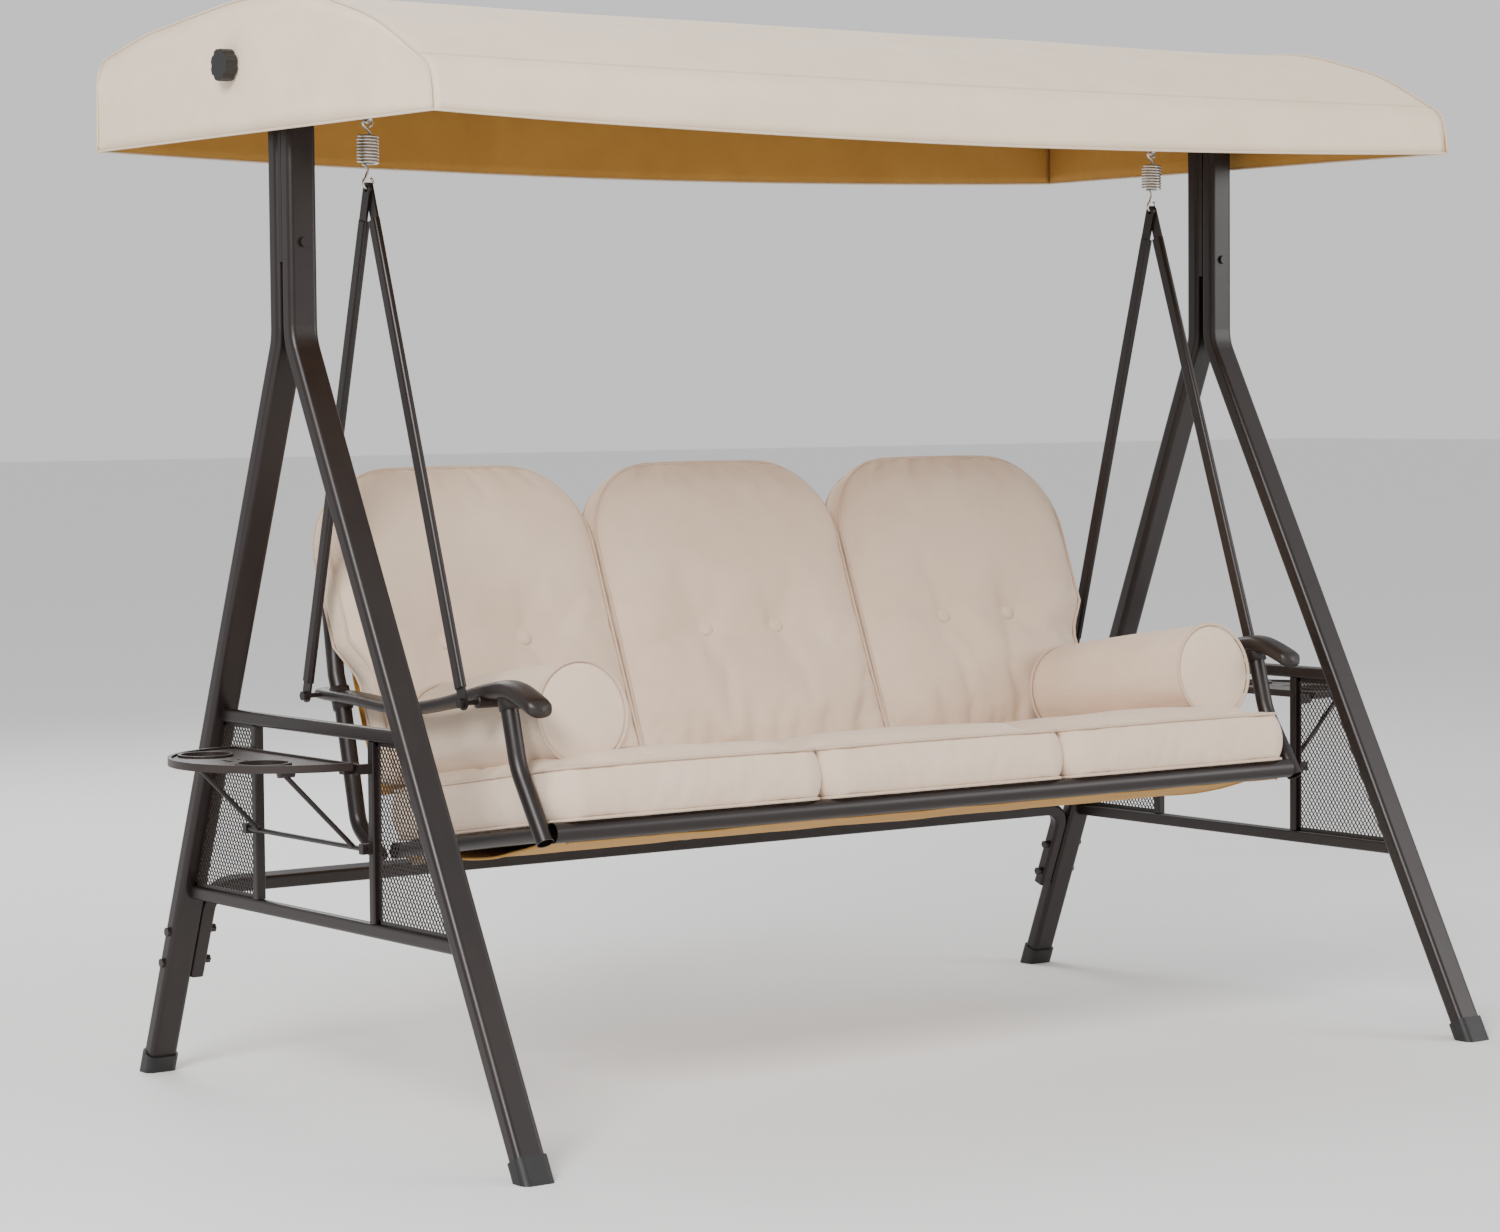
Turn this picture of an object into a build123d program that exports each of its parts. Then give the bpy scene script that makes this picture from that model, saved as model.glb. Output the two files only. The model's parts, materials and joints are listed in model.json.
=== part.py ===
"""Three-seat canopy swing bench: A-frame stand, spring-hung bench, tilting canopy, folding side trays.

Millimetres. +X is the object's right, -Y its front, +Z up. The origin is on the floor, midway
between the front and rear feet and midway between the two side frames.
"""
from build123d import *
import os
from math import atan2, cos, radians, sin, tan

os.makedirs("parts", exist_ok=True)

SIDES = (("left", -1), ("right", 1))

# --- overall -----------------------------------------------------------------
HALF_DEPTH = 603.0        # half of the overall depth, feet and canopy
HALF_CANOPY = 1035.0      # half of the canopy's width
CREST_Z = 1740.0          # highest point of the canopy
GAP = 0.3                 # clearance left between neighbours that only meet

# --- stand -------------------------------------------------------------------
FRAME_X = 965.0           # centre plane of each side frame
LEG_WIDE, LEG_DEEP, LEG_ROUND, WALL = 50.0, 30.0, 9.0, 1.5
POST_Y = 76.0             # where the two legs of a side run upright together
TONGUE = 10.0             # plate clamped between the two legs
LEG_OFFSET = (TONGUE + LEG_DEEP) / 2
BEND_Z, BEND_RADIUS, LEG_TOP_Z = 1215.0, 90.0, 1579.5
CAP_WIDE, CAP_DEEP, CAP_HIGH, CAP_FLOOR = 56.0, 38.0, 36.0, 8.0
FRONT_FOOT_Y, REAR_FOOT_Y = -581.6, 579.0
UPPER_RAIL_Z, LOWER_RAIL_Z = 615.0, 316.0
RAIL_HIGH, RAIL_WIDE = 22.0, 16.0
FRONT_BAR_Y, REAR_BAR_Y, BAR = -150.0, 215.0, 16.0
PANEL_THICK = 2.0
BEAM_Z, BEAM_HIGH, BEAM_WIDE = 1610.0, 50.0, 40.0
CROSS_TUBE, CROSS_Z, CROSS_LOW_Z, CROSS_BEND = 25.0, 322.0, 168.0, 42.0
BOLT_R, BOLT_HEAD_R, BOLT_HEAD = 4.0, 7.5, 5.0

# --- swing -------------------------------------------------------------------
HANG_Y, SWING_Z = 80.0, 1566.0
HANGER_X, HANGER_WIDE, HANGER_THICK, TAB = 826.0, 24.0, 12.0, 4.0
HANG_HOLE_Z, HOLE_R = 1452.0, 5.0
COIL_R, COIL_LOW_Z, COIL_HIGH_Z, WIRE_R = 18.0, 1490.0, 1537.0, 2.2
FRONT_HANG = (-184.0, 657.0)
REAR_HANG = (300.0, 640.0)

# --- bench -------------------------------------------------------------------
ARM_X, ARM_WIDE, ARM_THICK = 780.0, 46.0, 18.0
SEAT_TILT, BACK_TILT = 8.5, 22.0
FRONT_RAIL = (-335.0, 466.0)
RAIL_R, FRAME_R = 16.0, 14.0
REAR_RAIL_Y = 130.0
SEAT_HALF, SEAT_DEPTH, SEAT_THICK = 757.0, 508.0, 76.0
BACK_HALF, BACK_TALL, BACK_THICK, BACK_ROUND = 790.0, 520.0, 60.0, 150.0
UPRIGHT_TURN_Z, UPRIGHT_TOP_Z, BACK_TOP_X = 672.0, 902.0, 748.0
BACK_RAIL_Z = 886.0
BACK_KNEE = (262.0, 621.0)    # where the back uprights lean back, at arm height
BOLSTER_X, BOLSTER_R, BOLSTER_LONG = 659.0, 82.0, 398.0

# --- canopy ------------------------------------------------------------------
PIVOT_Y, PIVOT_Z, STUD_R = 138.0, 1640.0, 5.0
CLOTH = 3.0
ARCH_X, ARCH_R = 1013.0, 10.0
KNOB_R, KNOB_THICK = 25.0, 20.0

# --- trays -------------------------------------------------------------------
TRAY_HINGE_X, TRAY_UNDER_Z, TRAY_THICK = 992.0, 563.0, 12.0
TRAY_INNER_X, TRAY_MIDDLE_Y = 1006.0, 28.0
TRAY_REACH, TRAY_HALF_WIDE = 193.0, 185.0    # half-ellipse of the leaf
TRAY_RIM, TRAY_RIM_DEPTH = 6.0, 3.5
CUP_X, CUP_SPREAD, CUP_R = 1108.0, 92.0, 38.0
PIN_R, CLEARANCE = 3.0, 0.05
BRACE_X, BRACE_Z, BRACE_R = 985.0, 442.0, 4.0
BRACE_REACH = 115.5       # how far out, and how far up, each brace arm runs


def finish(builder, label):
    """Label a finished piece and write it."""
    builder.part.label = label
    export_step(builder.part, f"parts/{label}.step")


def seat_z(y):
    """Height of the seat frame's centre line at a depth."""
    return FRONT_RAIL[1] - (y - FRONT_RAIL[0]) * tan(radians(SEAT_TILT))


def back_y(z):
    """Depth of the back uprights' centre line at a height above the arms."""
    return BACK_KNEE[0] + (z - BACK_KNEE[1]) * tan(radians(BACK_TILT))


def leg_line(front):
    """Top, bend and foot points (Y, Z) of a leg's centre line, and its lean."""
    top_y = POST_Y - LEG_OFFSET if front else POST_Y + LEG_OFFSET
    foot_y = FRONT_FOOT_Y if front else REAR_FOOT_Y
    lean = atan2(foot_y - top_y, BEND_Z)
    return top_y, foot_y, lean


def leg_y(front, z):
    """Depth of a leg's centre line at a height below the bend."""
    top_y, _, lean = leg_line(front)
    return top_y + (BEND_Z - z) * tan(lean)


def leg_frame(sx, front, along):
    """Plane square to the sloping part of a leg, a distance below the bend."""
    top_y, _, lean = leg_line(front)
    origin = (sx * FRAME_X, top_y + along * sin(lean), BEND_Z - along * cos(lean))
    return Plane(origin=origin, x_dir=(1, 0, 0), z_dir=(0, sin(lean), -cos(lean)))


def inner_face(front):
    """Plane of a leg's inward face, its normal pointing into the side frame."""
    top_y, _, lean = leg_line(front)
    inward = 1 if front else -1
    normal = (0, inward * cos(lean), inward * sin(lean))
    origin = (0, top_y + normal[1] * LEG_DEEP / 2, BEND_Z + normal[2] * LEG_DEEP / 2)
    return Plane(origin=origin, x_dir=(1, 0, 0), z_dir=normal)


def tube_along(points, radius, bend=60.0, wall=WALL):
    """Round tube whose centre line runs through points with rounded corners; no wall makes it solid."""
    with BuildPart() as tube:
        with BuildLine() as path:
            if len(points) > 2:
                FilletPolyline(*points, radius=bend)
            else:
                Line(*points)
        with BuildSketch(Plane(origin=path.line @ 0, z_dir=path.line % 0)):
            Circle(radius)
            if wall:
                Circle(radius - wall, mode=Mode.SUBTRACT)
        sweep()
    return tube


# --- stand pieces ------------------------------------------------------------
def leg(side, sx, front):
    top_y, foot_y, lean = leg_line(front)
    x = sx * FRAME_X
    with BuildPart() as piece:
        with BuildLine() as path:
            FilletPolyline(
                (x, top_y, LEG_TOP_Z),
                (x, top_y, BEND_Z),
                (x, foot_y + 30 * tan(lean), -30),
                radius=BEND_RADIUS,
            )
        with BuildSketch(Plane(origin=path.line @ 0, x_dir=(1, 0, 0), z_dir=path.line % 0)):
            RectangleRounded(LEG_WIDE, LEG_DEEP, LEG_ROUND)
            offset(amount=-WALL, mode=Mode.SUBTRACT)
        sweep()
        split(bisect_by=Plane.XY.offset(CAP_FLOOR), keep=Keep.TOP)
    finish(piece, f"{side}_{'front' if front else 'rear'}_leg")


def foot_caps():
    """Moulded shoe on each leg, its sole level with the floor."""
    with BuildPart() as caps:
        for side, sx in SIDES:
            for front in (True, False):
                lean = leg_line(front)[2]
                reach = BEND_Z / cos(lean)
                with BuildSketch(leg_frame(sx, front, reach - CAP_HIGH)):
                    RectangleRounded(CAP_WIDE, CAP_DEEP, LEG_ROUND + 3)
                extrude(amount=CAP_HIGH + 40)
        split(bisect_by=Plane.XY, keep=Keep.TOP)
        for side, sx in SIDES:
            for front in (True, False):
                lean = leg_line(front)[2]
                reach = BEND_Z / cos(lean)
                with BuildPart(mode=Mode.PRIVATE) as bore:
                    with BuildSketch(leg_frame(sx, front, reach - CAP_HIGH - 5)):
                        RectangleRounded(LEG_WIDE, LEG_DEEP, LEG_ROUND)
                    extrude(amount=CAP_HIGH + 60)
                    split(bisect_by=Plane.XY.offset(CAP_FLOOR), keep=Keep.TOP)
                add(bore.part, mode=Mode.SUBTRACT)
    finish(caps, "foot_caps")


def top_bracket(side, sx):
    """Tongue clamped between the legs, and the plate that carries the canopy stud."""
    plate_x = FRAME_X + LEG_WIDE / 2
    with BuildPart() as bracket:
        with BuildSketch(Plane.XY.offset(1335)):
            with Locations((sx * FRAME_X, POST_Y)):
                Rectangle(LEG_WIDE - 6, TONGUE)
        extrude(amount=BEAM_Z - BEAM_HIGH / 2 - 1335)
        with BuildSketch(Plane.YZ.offset(plate_x if sx > 0 else -plate_x - 6)):
            with BuildLine():
                Polyline(
                    (POST_Y - 24, BEAM_Z - 30),
                    (POST_Y + 60, BEAM_Z - 30),
                    (PIVOT_Y + 22, PIVOT_Z - 14),
                    (PIVOT_Y + 22, PIVOT_Z + 22),
                    (POST_Y - 24, PIVOT_Z + 22),
                    close=True,
                )
            make_face()
        extrude(amount=6)
        with Locations(Location((0, PIVOT_Y, PIVOT_Z), (0, 90, 0))):
            Cylinder(STUD_R, 2400, mode=Mode.SUBTRACT)
        with BuildSketch(Plane.XY.offset(BEAM_Z - 30)):
            with Locations((sx * (plate_x - 6), POST_Y)):
                Rectangle(18, BEAM_WIDE)
        extrude(amount=5)
        with BuildSketch(Plane.XZ.offset(-POST_Y - 60)):
            with Locations((sx * FRAME_X, 1365)):
                Circle(BOLT_R)
        extrude(amount=120, mode=Mode.SUBTRACT)
    finish(bracket, f"{side}_top_bracket")


def top_beam():
    with BuildPart() as beam:
        with BuildSketch(Plane.YZ.offset(-FRAME_X - LEG_WIDE / 2)):
            with Locations((POST_Y, BEAM_Z)):
                RectangleRounded(BEAM_WIDE, BEAM_HIGH, 12)
                offset(amount=-WALL, mode=Mode.SUBTRACT)
        extrude(amount=2 * FRAME_X + LEG_WIDE)
    finish(beam, "top_beam")


def beam_eyes():
    """Forged eye under the beam for each spring hook."""
    with BuildPart() as eyes:
        for side, sx in SIDES:
            with Locations(Location((sx * HANGER_X, HANG_Y, SWING_Z), (0, 90, 0))):
                Torus(9, 3)
            shank_low = SWING_Z + 9
            with BuildSketch(Plane.XY.offset(shank_low)):
                with Locations((sx * HANGER_X, HANG_Y)):
                    Circle(4)
            extrude(amount=BEAM_Z - BEAM_HIGH / 2 - shank_low)
    finish(eyes, "beam_eyes")


def canopy_studs():
    """Threaded stud on each side that the canopy tilts on."""
    inner = FRAME_X + LEG_WIDE / 2
    with BuildPart() as studs:
        for side, sx in SIDES:
            with BuildSketch(Plane.YZ.offset(sx * inner)):
                with Locations((PIVOT_Y, PIVOT_Z)):
                    Circle(STUD_R)
            extrude(amount=sx * 58)
            with BuildSketch(Plane.YZ.offset(sx * (inner - 6))):
                with Locations((PIVOT_Y, PIVOT_Z)):
                    RegularPolygon(9, 6)
            extrude(amount=sx * 6)
    finish(studs, "canopy_studs")


def side_rails(side, sx):
    with BuildPart() as rails:
        for rail_z in (UPPER_RAIL_Z, LOWER_RAIL_Z):
            with BuildSketch(Plane.XZ.offset(-HALF_DEPTH)):
                with Locations((sx * FRAME_X, rail_z)):
                    RectangleRounded(RAIL_WIDE, RAIL_HIGH, 5)
                    offset(amount=-WALL, mode=Mode.SUBTRACT)
            extrude(amount=2 * HALF_DEPTH)
        split(bisect_by=inner_face(True), keep=Keep.TOP)
        split(bisect_by=inner_face(False), keep=Keep.TOP)
    finish(rails, f"{side}_side_rails")


def side_bars(side, sx):
    low = LOWER_RAIL_Z + RAIL_HIGH / 2
    with BuildPart() as bars:
        with BuildSketch(Plane.XY.offset(low)):
            with Locations((sx * FRAME_X, FRONT_BAR_Y), (sx * FRAME_X, REAR_BAR_Y)):
                RectangleRounded(BAR, BAR, 3)
                RectangleRounded(BAR - 2 * WALL, BAR - 2 * WALL, 1.5, mode=Mode.SUBTRACT)
        extrude(amount=UPPER_RAIL_Z - LOWER_RAIL_Z - RAIL_HIGH)
    finish(bars, f"{side}_side_bars")


def mesh_panels(side, sx):
    """Expanded-metal panels between each leg and its upright bar."""
    low = LOWER_RAIL_Z + RAIL_HIGH / 2
    tall = UPPER_RAIL_Z - LOWER_RAIL_Z - RAIL_HIGH
    spans = (
        (-HALF_DEPTH, FRONT_BAR_Y - BAR / 2),
        (REAR_BAR_Y + BAR / 2, HALF_DEPTH),
    )
    with BuildPart() as panels:
        with BuildSketch(Plane.XY.offset(low)):
            for start, end in spans:
                with Locations((sx * FRAME_X, (start + end) / 2)):
                    Rectangle(PANEL_THICK, end - start)
        extrude(amount=tall)
        split(bisect_by=inner_face(True), keep=Keep.TOP)
        split(bisect_by=inner_face(False), keep=Keep.TOP)
    finish(panels, f"{side}_mesh_panels")


def rear_crossbeam():
    """Low beam joining the rear legs, its ends bent down along their inner faces."""
    end_x = FRAME_X - LEG_WIDE / 2 - CROSS_TUBE / 2
    low_y = leg_y(False, CROSS_LOW_Z)
    high_y = leg_y(False, CROSS_Z)
    with BuildPart() as beam:
        with BuildLine() as path:
            FilletPolyline(
                (-end_x, low_y, CROSS_LOW_Z),
                (-end_x, high_y, CROSS_Z),
                (end_x, high_y, CROSS_Z),
                (end_x, low_y, CROSS_LOW_Z),
                radius=CROSS_BEND,
            )
        with BuildSketch(Plane(origin=path.line @ 0, x_dir=(1, 0, 0), z_dir=path.line % 0)):
            RectangleRounded(CROSS_TUBE, CROSS_TUBE, 6)
            offset(amount=-WALL, mode=Mode.SUBTRACT)
        sweep()
        for along_z in (247, 193):
            with Locations(Plane.YZ):
                with Locations((leg_y(False, along_z), along_z)):
                    Cylinder(BOLT_R, 2100, mode=Mode.SUBTRACT)
    finish(beam, "rear_crossbeam")


def frame_bolts():
    """Clamp bolts of the posts, and the heads and nuts of the crossbeam bolts."""
    face_front = POST_Y - LEG_OFFSET - LEG_DEEP / 2
    face_rear = POST_Y + LEG_OFFSET + LEG_DEEP / 2
    inner_x = FRAME_X - LEG_WIDE / 2 - CROSS_TUBE
    outer_x = FRAME_X + LEG_WIDE / 2
    with BuildPart() as bolts:
        for side, sx in SIDES:
            with BuildSketch(Plane.XZ.offset(-face_front)):
                with Locations((sx * FRAME_X, 1365)):
                    Circle(BOLT_HEAD_R)
            extrude(amount=BOLT_HEAD)
            with BuildSketch(Plane.XZ.offset(-face_rear)):
                with Locations((sx * FRAME_X, 1365)):
                    RegularPolygon(BOLT_HEAD_R, 6)
            extrude(amount=-BOLT_HEAD)
            for along_z in (247, 193):
                y = leg_y(False, along_z)
                with BuildSketch(Plane.YZ.offset(sx * outer_x)):
                    with Locations((y, along_z)):
                        Circle(BOLT_HEAD_R)
                extrude(amount=sx * BOLT_HEAD)
                with BuildSketch(Plane.YZ.offset(sx * inner_x)):
                    with Locations((y, along_z)):
                        RegularPolygon(BOLT_HEAD_R, 6)
                extrude(amount=-sx * (BOLT_HEAD + 5))
    finish(bolts, "frame_bolts")


# --- springs and hangers -----------------------------------------------------
def spring(side, sx):
    """Envelope of the coil, with a hooked eye at each end."""
    x = sx * HANGER_X
    with BuildPart() as coil:
        with BuildSketch(Plane.XY.offset(COIL_LOW_Z)):
            with Locations((x, HANG_Y)):
                Circle(COIL_R)
        extrude(amount=COIL_HIGH_Z - COIL_LOW_Z)
        with Locations(Location((x, HANG_Y, SWING_Z - 9), (90, 0, 0))):
            Torus(9, WIRE_R)
        with Locations(Location((x, HANG_Y, HANG_HOLE_Z + 9), (90, 0, 0))):
            Torus(9, WIRE_R)
        with BuildSketch(Plane.XY.offset(COIL_HIGH_Z)):
            with Locations((x, HANG_Y)):
                Circle(WIRE_R)
        extrude(amount=SWING_Z - 18 - COIL_HIGH_Z)
        with BuildSketch(Plane.XY.offset(HANG_HOLE_Z + 18)):
            with Locations((x, HANG_Y)):
                Circle(WIRE_R)
        extrude(amount=COIL_LOW_Z - HANG_HOLE_Z - 18)
    finish(coil, f"{side}_spring")


def hanger(side, sx, front):
    """Flattened-end hanger tube from the spring hook down to the arm."""
    low = FRONT_HANG if front else REAR_HANG
    rise = (low[0] - HANG_Y, low[1] - HANG_HOLE_Z)
    length = (rise[0] ** 2 + rise[1] ** 2) ** 0.5
    down = (0, rise[0] / length, rise[1] / length)
    x = sx * HANGER_X
    top_tab, low_tab = 52.0, 24.0
    tab_low_x = x - TAB / 2
    tab_top_x = x + (0 if front else -TAB)
    flat = Plane(origin=(tab_top_x, HANG_Y, HANG_HOLE_Z), x_dir=down, z_dir=(1, 0, 0))
    tube_start = (x, HANG_Y + down[1] * top_tab, HANG_HOLE_Z + down[2] * top_tab)
    with BuildPart() as piece:
        with BuildSketch(Plane(origin=tube_start, x_dir=(1, 0, 0), z_dir=down)):
            RectangleRounded(HANGER_THICK, HANGER_WIDE, 5.5)
            offset(amount=-WALL, mode=Mode.SUBTRACT)
        extrude(amount=length - top_tab - low_tab)
        with BuildSketch(flat):
            with Locations((top_tab / 2 + 4, 0)):
                SlotCenterToCenter(top_tab + 8, HANGER_WIDE - 4)
            with Locations((0, 0)):
                Circle(HOLE_R, mode=Mode.SUBTRACT)
        extrude(amount=TAB)
        with BuildSketch(Plane(origin=(tab_low_x, low[0], low[1]), x_dir=down, z_dir=(1, 0, 0))):
            with Locations((-low_tab / 2 - 4, 0)):
                SlotCenterToCenter(low_tab + 8, HANGER_WIDE - 2)
            with Locations((0, 0)):
                Circle(BOLT_R, mode=Mode.SUBTRACT)
        extrude(amount=TAB)
    finish(piece, f"{side}_{'front' if front else 'rear'}_hanger")


def hanger_bolts():
    """Shouldered bolts that pin the hangers to the arms."""
    start = ARM_X + ARM_WIDE / 2
    with BuildPart() as bolts:
        for side, sx in SIDES:
            for y, z in (FRONT_HANG, REAR_HANG):
                with BuildSketch(Plane.YZ.offset(sx * (start - 18))):
                    with Locations((y, z)):
                        Circle(BOLT_R)
                extrude(amount=sx * (HANGER_X - start + 26))
                with BuildSketch(Plane.YZ.offset(sx * (HANGER_X + TAB / 2))):
                    with Locations((y, z)):
                        Circle(BOLT_HEAD_R)
                extrude(amount=sx * 7)
    finish(bolts, "hanger_bolts")


# --- bench frame -------------------------------------------------------------
def armrest(side, sx):
    """Moulded arm: low in the middle, swelling at the front and dropping at its tip."""
    top_line = ((328, 650), (200, 646), (65, 640), (-60, 656), (-200, 686), (-262, 690), (-336, 664))
    socket = tube_along(upright_path(sx), FRAME_R + GAP, 45, wall=0)
    with BuildPart() as arm:
        with BuildSketch(Plane.YZ.offset(sx * ARM_X - ARM_WIDE / 2)):
            with BuildLine():
                top = Spline(*top_line)
                low = Spline(*[(y, z - ARM_THICK) for y, z in top_line])
                Line(top @ 0, low @ 0)
                Line(top @ 1, low @ 1)
            make_face()
        extrude(amount=ARM_WIDE)
        for y, z in (FRONT_HANG, REAR_HANG):
            with BuildSketch(Plane.YZ.offset(sx * ARM_X)):
                with Locations((y, z)):
                    Circle(11)
            extrude(amount=sx * ARM_WIDE / 2)
            with BuildSketch(Plane.YZ.offset(sx * (ARM_X + ARM_WIDE / 2 - 18))):
                with Locations((y, z)):
                    Circle(BOLT_R)
            extrude(amount=sx * 40, mode=Mode.SUBTRACT)
        add(socket.part, mode=Mode.SUBTRACT)
    finish(arm, f"{side}_armrest")


def front_post(side, sx):
    x = sx * ARM_X
    post = tube_along(((x, -338, 452), (x, -266, 560), (x, -238, 664)), FRAME_R, 120)
    finish(post, f"{side}_front_post")


def upright_path(sx):
    """Centre line of a back upright, from the seat frame to just above the arm."""
    x = sx * ARM_X
    return (
        (x, 150, 386),
        (x, 217, 432),
        (x, BACK_KNEE[0], BACK_KNEE[1]),
        (x, back_y(UPRIGHT_TURN_Z), UPRIGHT_TURN_Z),
    )


def back_upright(side, sx):
    """Back upright, which draws in behind the cushions above the arm."""
    turn = (sx * ARM_X, back_y(UPRIGHT_TURN_Z), UPRIGHT_TURN_Z)
    top = (sx * BACK_TOP_X, back_y(UPRIGHT_TOP_Z), UPRIGHT_TOP_Z)
    with BuildPart() as upright:
        add(tube_along(upright_path(sx), FRAME_R, 45))
        add(tube_along((turn, top), FRAME_R))
        with Locations(turn):
            Sphere(FRAME_R)
    finish(upright, f"{side}_back_upright")


def seat_side_rail(side, sx):
    x = sx * (ARM_X - FRAME_R - 12.5)
    start_y, end_y = FRONT_RAIL[0] + RAIL_R, REAR_RAIL_Y - FRAME_R
    rail = tube_along(((x, start_y, seat_z(start_y)), (x, end_y, seat_z(end_y))), 12)
    finish(rail, f"{side}_seat_rail")


def cross_rails():
    """Front, rear and top tubes that run the width of the bench."""
    half = ARM_X - FRAME_R - GAP
    front = tube_along(((-half, *FRONT_RAIL), (half, *FRONT_RAIL)), RAIL_R)
    finish(front, "seat_front_rail")
    rear_z = seat_z(REAR_RAIL_Y)
    rear = tube_along(((-half, REAR_RAIL_Y, rear_z), (half, REAR_RAIL_Y, rear_z)), FRAME_R - 1)
    finish(rear, "seat_rear_rail")
    top_half = BACK_TOP_X - FRAME_R - 1
    top_y = back_y(BACK_RAIL_Z)
    top = tube_along(((-top_half, top_y, BACK_RAIL_Z), (top_half, top_y, BACK_RAIL_Z)), 12)
    finish(top, "back_top_rail")


def slings():
    """Slack fabric seat and back, hung inside the tube frame."""
    half = ARM_X - FRAME_R - 27
    start = (FRONT_RAIL[0] + RAIL_R + 1, seat_z(FRONT_RAIL[0] + RAIL_R + 1) + 6)
    end = (REAR_RAIL_Y - FRAME_R - 1, seat_z(REAR_RAIL_Y - FRAME_R - 1) + 4)
    middle = ((start[0] + end[0]) / 2, (start[1] + end[1]) / 2 - 22)
    with BuildPart() as seat:
        with BuildSketch(Plane.YZ.offset(-half)):
            with BuildLine():
                upper = ThreePointArc(start, middle, end)
                lower = ThreePointArc(
                    (start[0], start[1] - 2), (middle[0], middle[1] - 2), (end[0], end[1] - 2)
                )
                Line(upper @ 0, lower @ 0)
                Line(upper @ 1, lower @ 1)
            make_face()
        extrude(amount=2 * half)
    finish(seat, "seat_sling")
    low_z, high_z = 470.0, BACK_RAIL_Z - 17
    tall = (high_z - low_z) / cos(radians(BACK_TILT))
    centre = (0, back_y((low_z + high_z) / 2) + 4, (low_z + high_z) / 2)
    lean = radians(BACK_TILT)
    leaning = Plane(origin=centre, x_dir=(1, 0, 0), z_dir=(0, -cos(lean), sin(lean)))
    with BuildPart() as back:
        with BuildSketch(leaning):
            Rectangle(2 * (BACK_TOP_X - FRAME_R - 3), tall)
        extrude(amount=2)
    finish(back, "back_sling")


# --- cushions ----------------------------------------------------------------
def cushions():
    """Three seat and three back cushions, as plain closed solids."""
    tilt = radians(SEAT_TILT)
    seat_front = (-349.0, seat_z(-349.0) + RAIL_R + 3)
    seat_plane = Plane(
        origin=(0, *seat_front), x_dir=(1, 0, 0), z_dir=(0, sin(tilt), cos(tilt))
    )
    lean = radians(BACK_TILT)
    back_low = 490.0
    back_plane = Plane(
        origin=(0, back_y(back_low) - (FRAME_R + 1) / cos(lean), back_low),
        x_dir=(1, 0, 0),
        z_dir=(0, -cos(lean), sin(lean)),
    )
    seat_wide = 2 * SEAT_HALF / 3
    back_wide = 2 * BACK_HALF / 3
    for place, step in (("left", -1), ("centre", 0), ("right", 1)):
        with BuildPart() as seat:
            with BuildSketch(seat_plane):
                with Locations((step * seat_wide, SEAT_DEPTH / 2)):
                    RectangleRounded(seat_wide - 3, SEAT_DEPTH, 25)
            extrude(amount=SEAT_THICK)
        finish(seat, f"{place}_seat_cushion")
        low, high = 14.0, 14.0 + BACK_TALL
        half = (back_wide - 3) / 2
        left, right = step * back_wide - half, step * back_wide + half
        beside_arm = ARM_X - ARM_WIDE / 2 - 2
        arm_high = 188.0
        with BuildPart() as back:
            with BuildSketch(back_plane) as outline:
                with BuildLine():
                    Polyline(
                        (max(left, -beside_arm), low),
                        (max(left, -beside_arm), low + arm_high),
                        (left, low + arm_high + 30),
                        (left, high),
                        (right, high),
                        (right, low + arm_high + 30),
                        (min(right, beside_arm), low + arm_high),
                        (min(right, beside_arm), low),
                        close=True,
                    )
                make_face()
                fillet(outline.vertices().group_by(Axis.Y)[-1], BACK_ROUND)
                fillet(outline.vertices().group_by(Axis.Y)[0], 20)
            extrude(amount=BACK_THICK)
        finish(back, f"{place}_back_cushion")


def bolster(side, sx):
    tilt = radians(SEAT_TILT)
    face_y = -262.0
    face_z = seat_z(face_y) + (RAIL_R + 3 + SEAT_THICK + BOLSTER_R + 3) / cos(tilt)
    along = Plane(
        origin=(sx * BOLSTER_X, face_y, face_z), x_dir=(1, 0, 0), z_dir=(0, cos(tilt), -sin(tilt))
    )
    with BuildPart() as roll:
        with BuildSketch(along):
            Circle(BOLSTER_R)
        extrude(amount=BOLSTER_LONG)
        fillet(roll.edges(), 10)
    finish(roll, f"{side}_bolster")


def cushion_straps():
    """Tie straps that loop round the rear seat rail."""
    seam = 2 * SEAT_HALF / 6
    outer = FRAME_R - 1 + GAP + 1.2
    places = (-SEAT_HALF + 45, -seam - 66, -seam + 66, seam - 66, seam + 66, SEAT_HALF - 45)
    with BuildPart() as straps:
        for x in places:
            with BuildSketch(Plane.YZ.offset(x - 12)):
                with Locations((REAR_RAIL_Y, seat_z(REAR_RAIL_Y))):
                    Circle(outer)
                    Circle(outer - 1.2, mode=Mode.SUBTRACT)
                with Locations((REAR_RAIL_Y, seat_z(REAR_RAIL_Y) - outer - 5.5)):
                    Rectangle(3, 12)
            extrude(amount=24)
    finish(straps, "cushion_straps")


# --- canopy ------------------------------------------------------------------
def canopy_outline(inset):
    """Face of the canopy's section, drawn a distance inside the outer skin."""
    front, rear = -HALF_DEPTH + 148 + inset, HALF_DEPTH - inset
    top = CREST_Z - inset
    hem = 1534.0
    with BuildSketch(Plane.YZ) as section:
        with BuildLine():
            crown = FilletPolyline(
                (front, hem),
                (front + 7, top - 138),
                (-300, top - 60),
                (-100, top - 4),
                (120, top),
                (420, top - 28),
                (rear - 5, top - 62),
                (rear, hem),
                radius=[45 - inset, 500, 600, 900, 900, 42 - inset],
            )
            Line(crown @ 1, crown @ 0)
        make_face()
    return section


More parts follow.
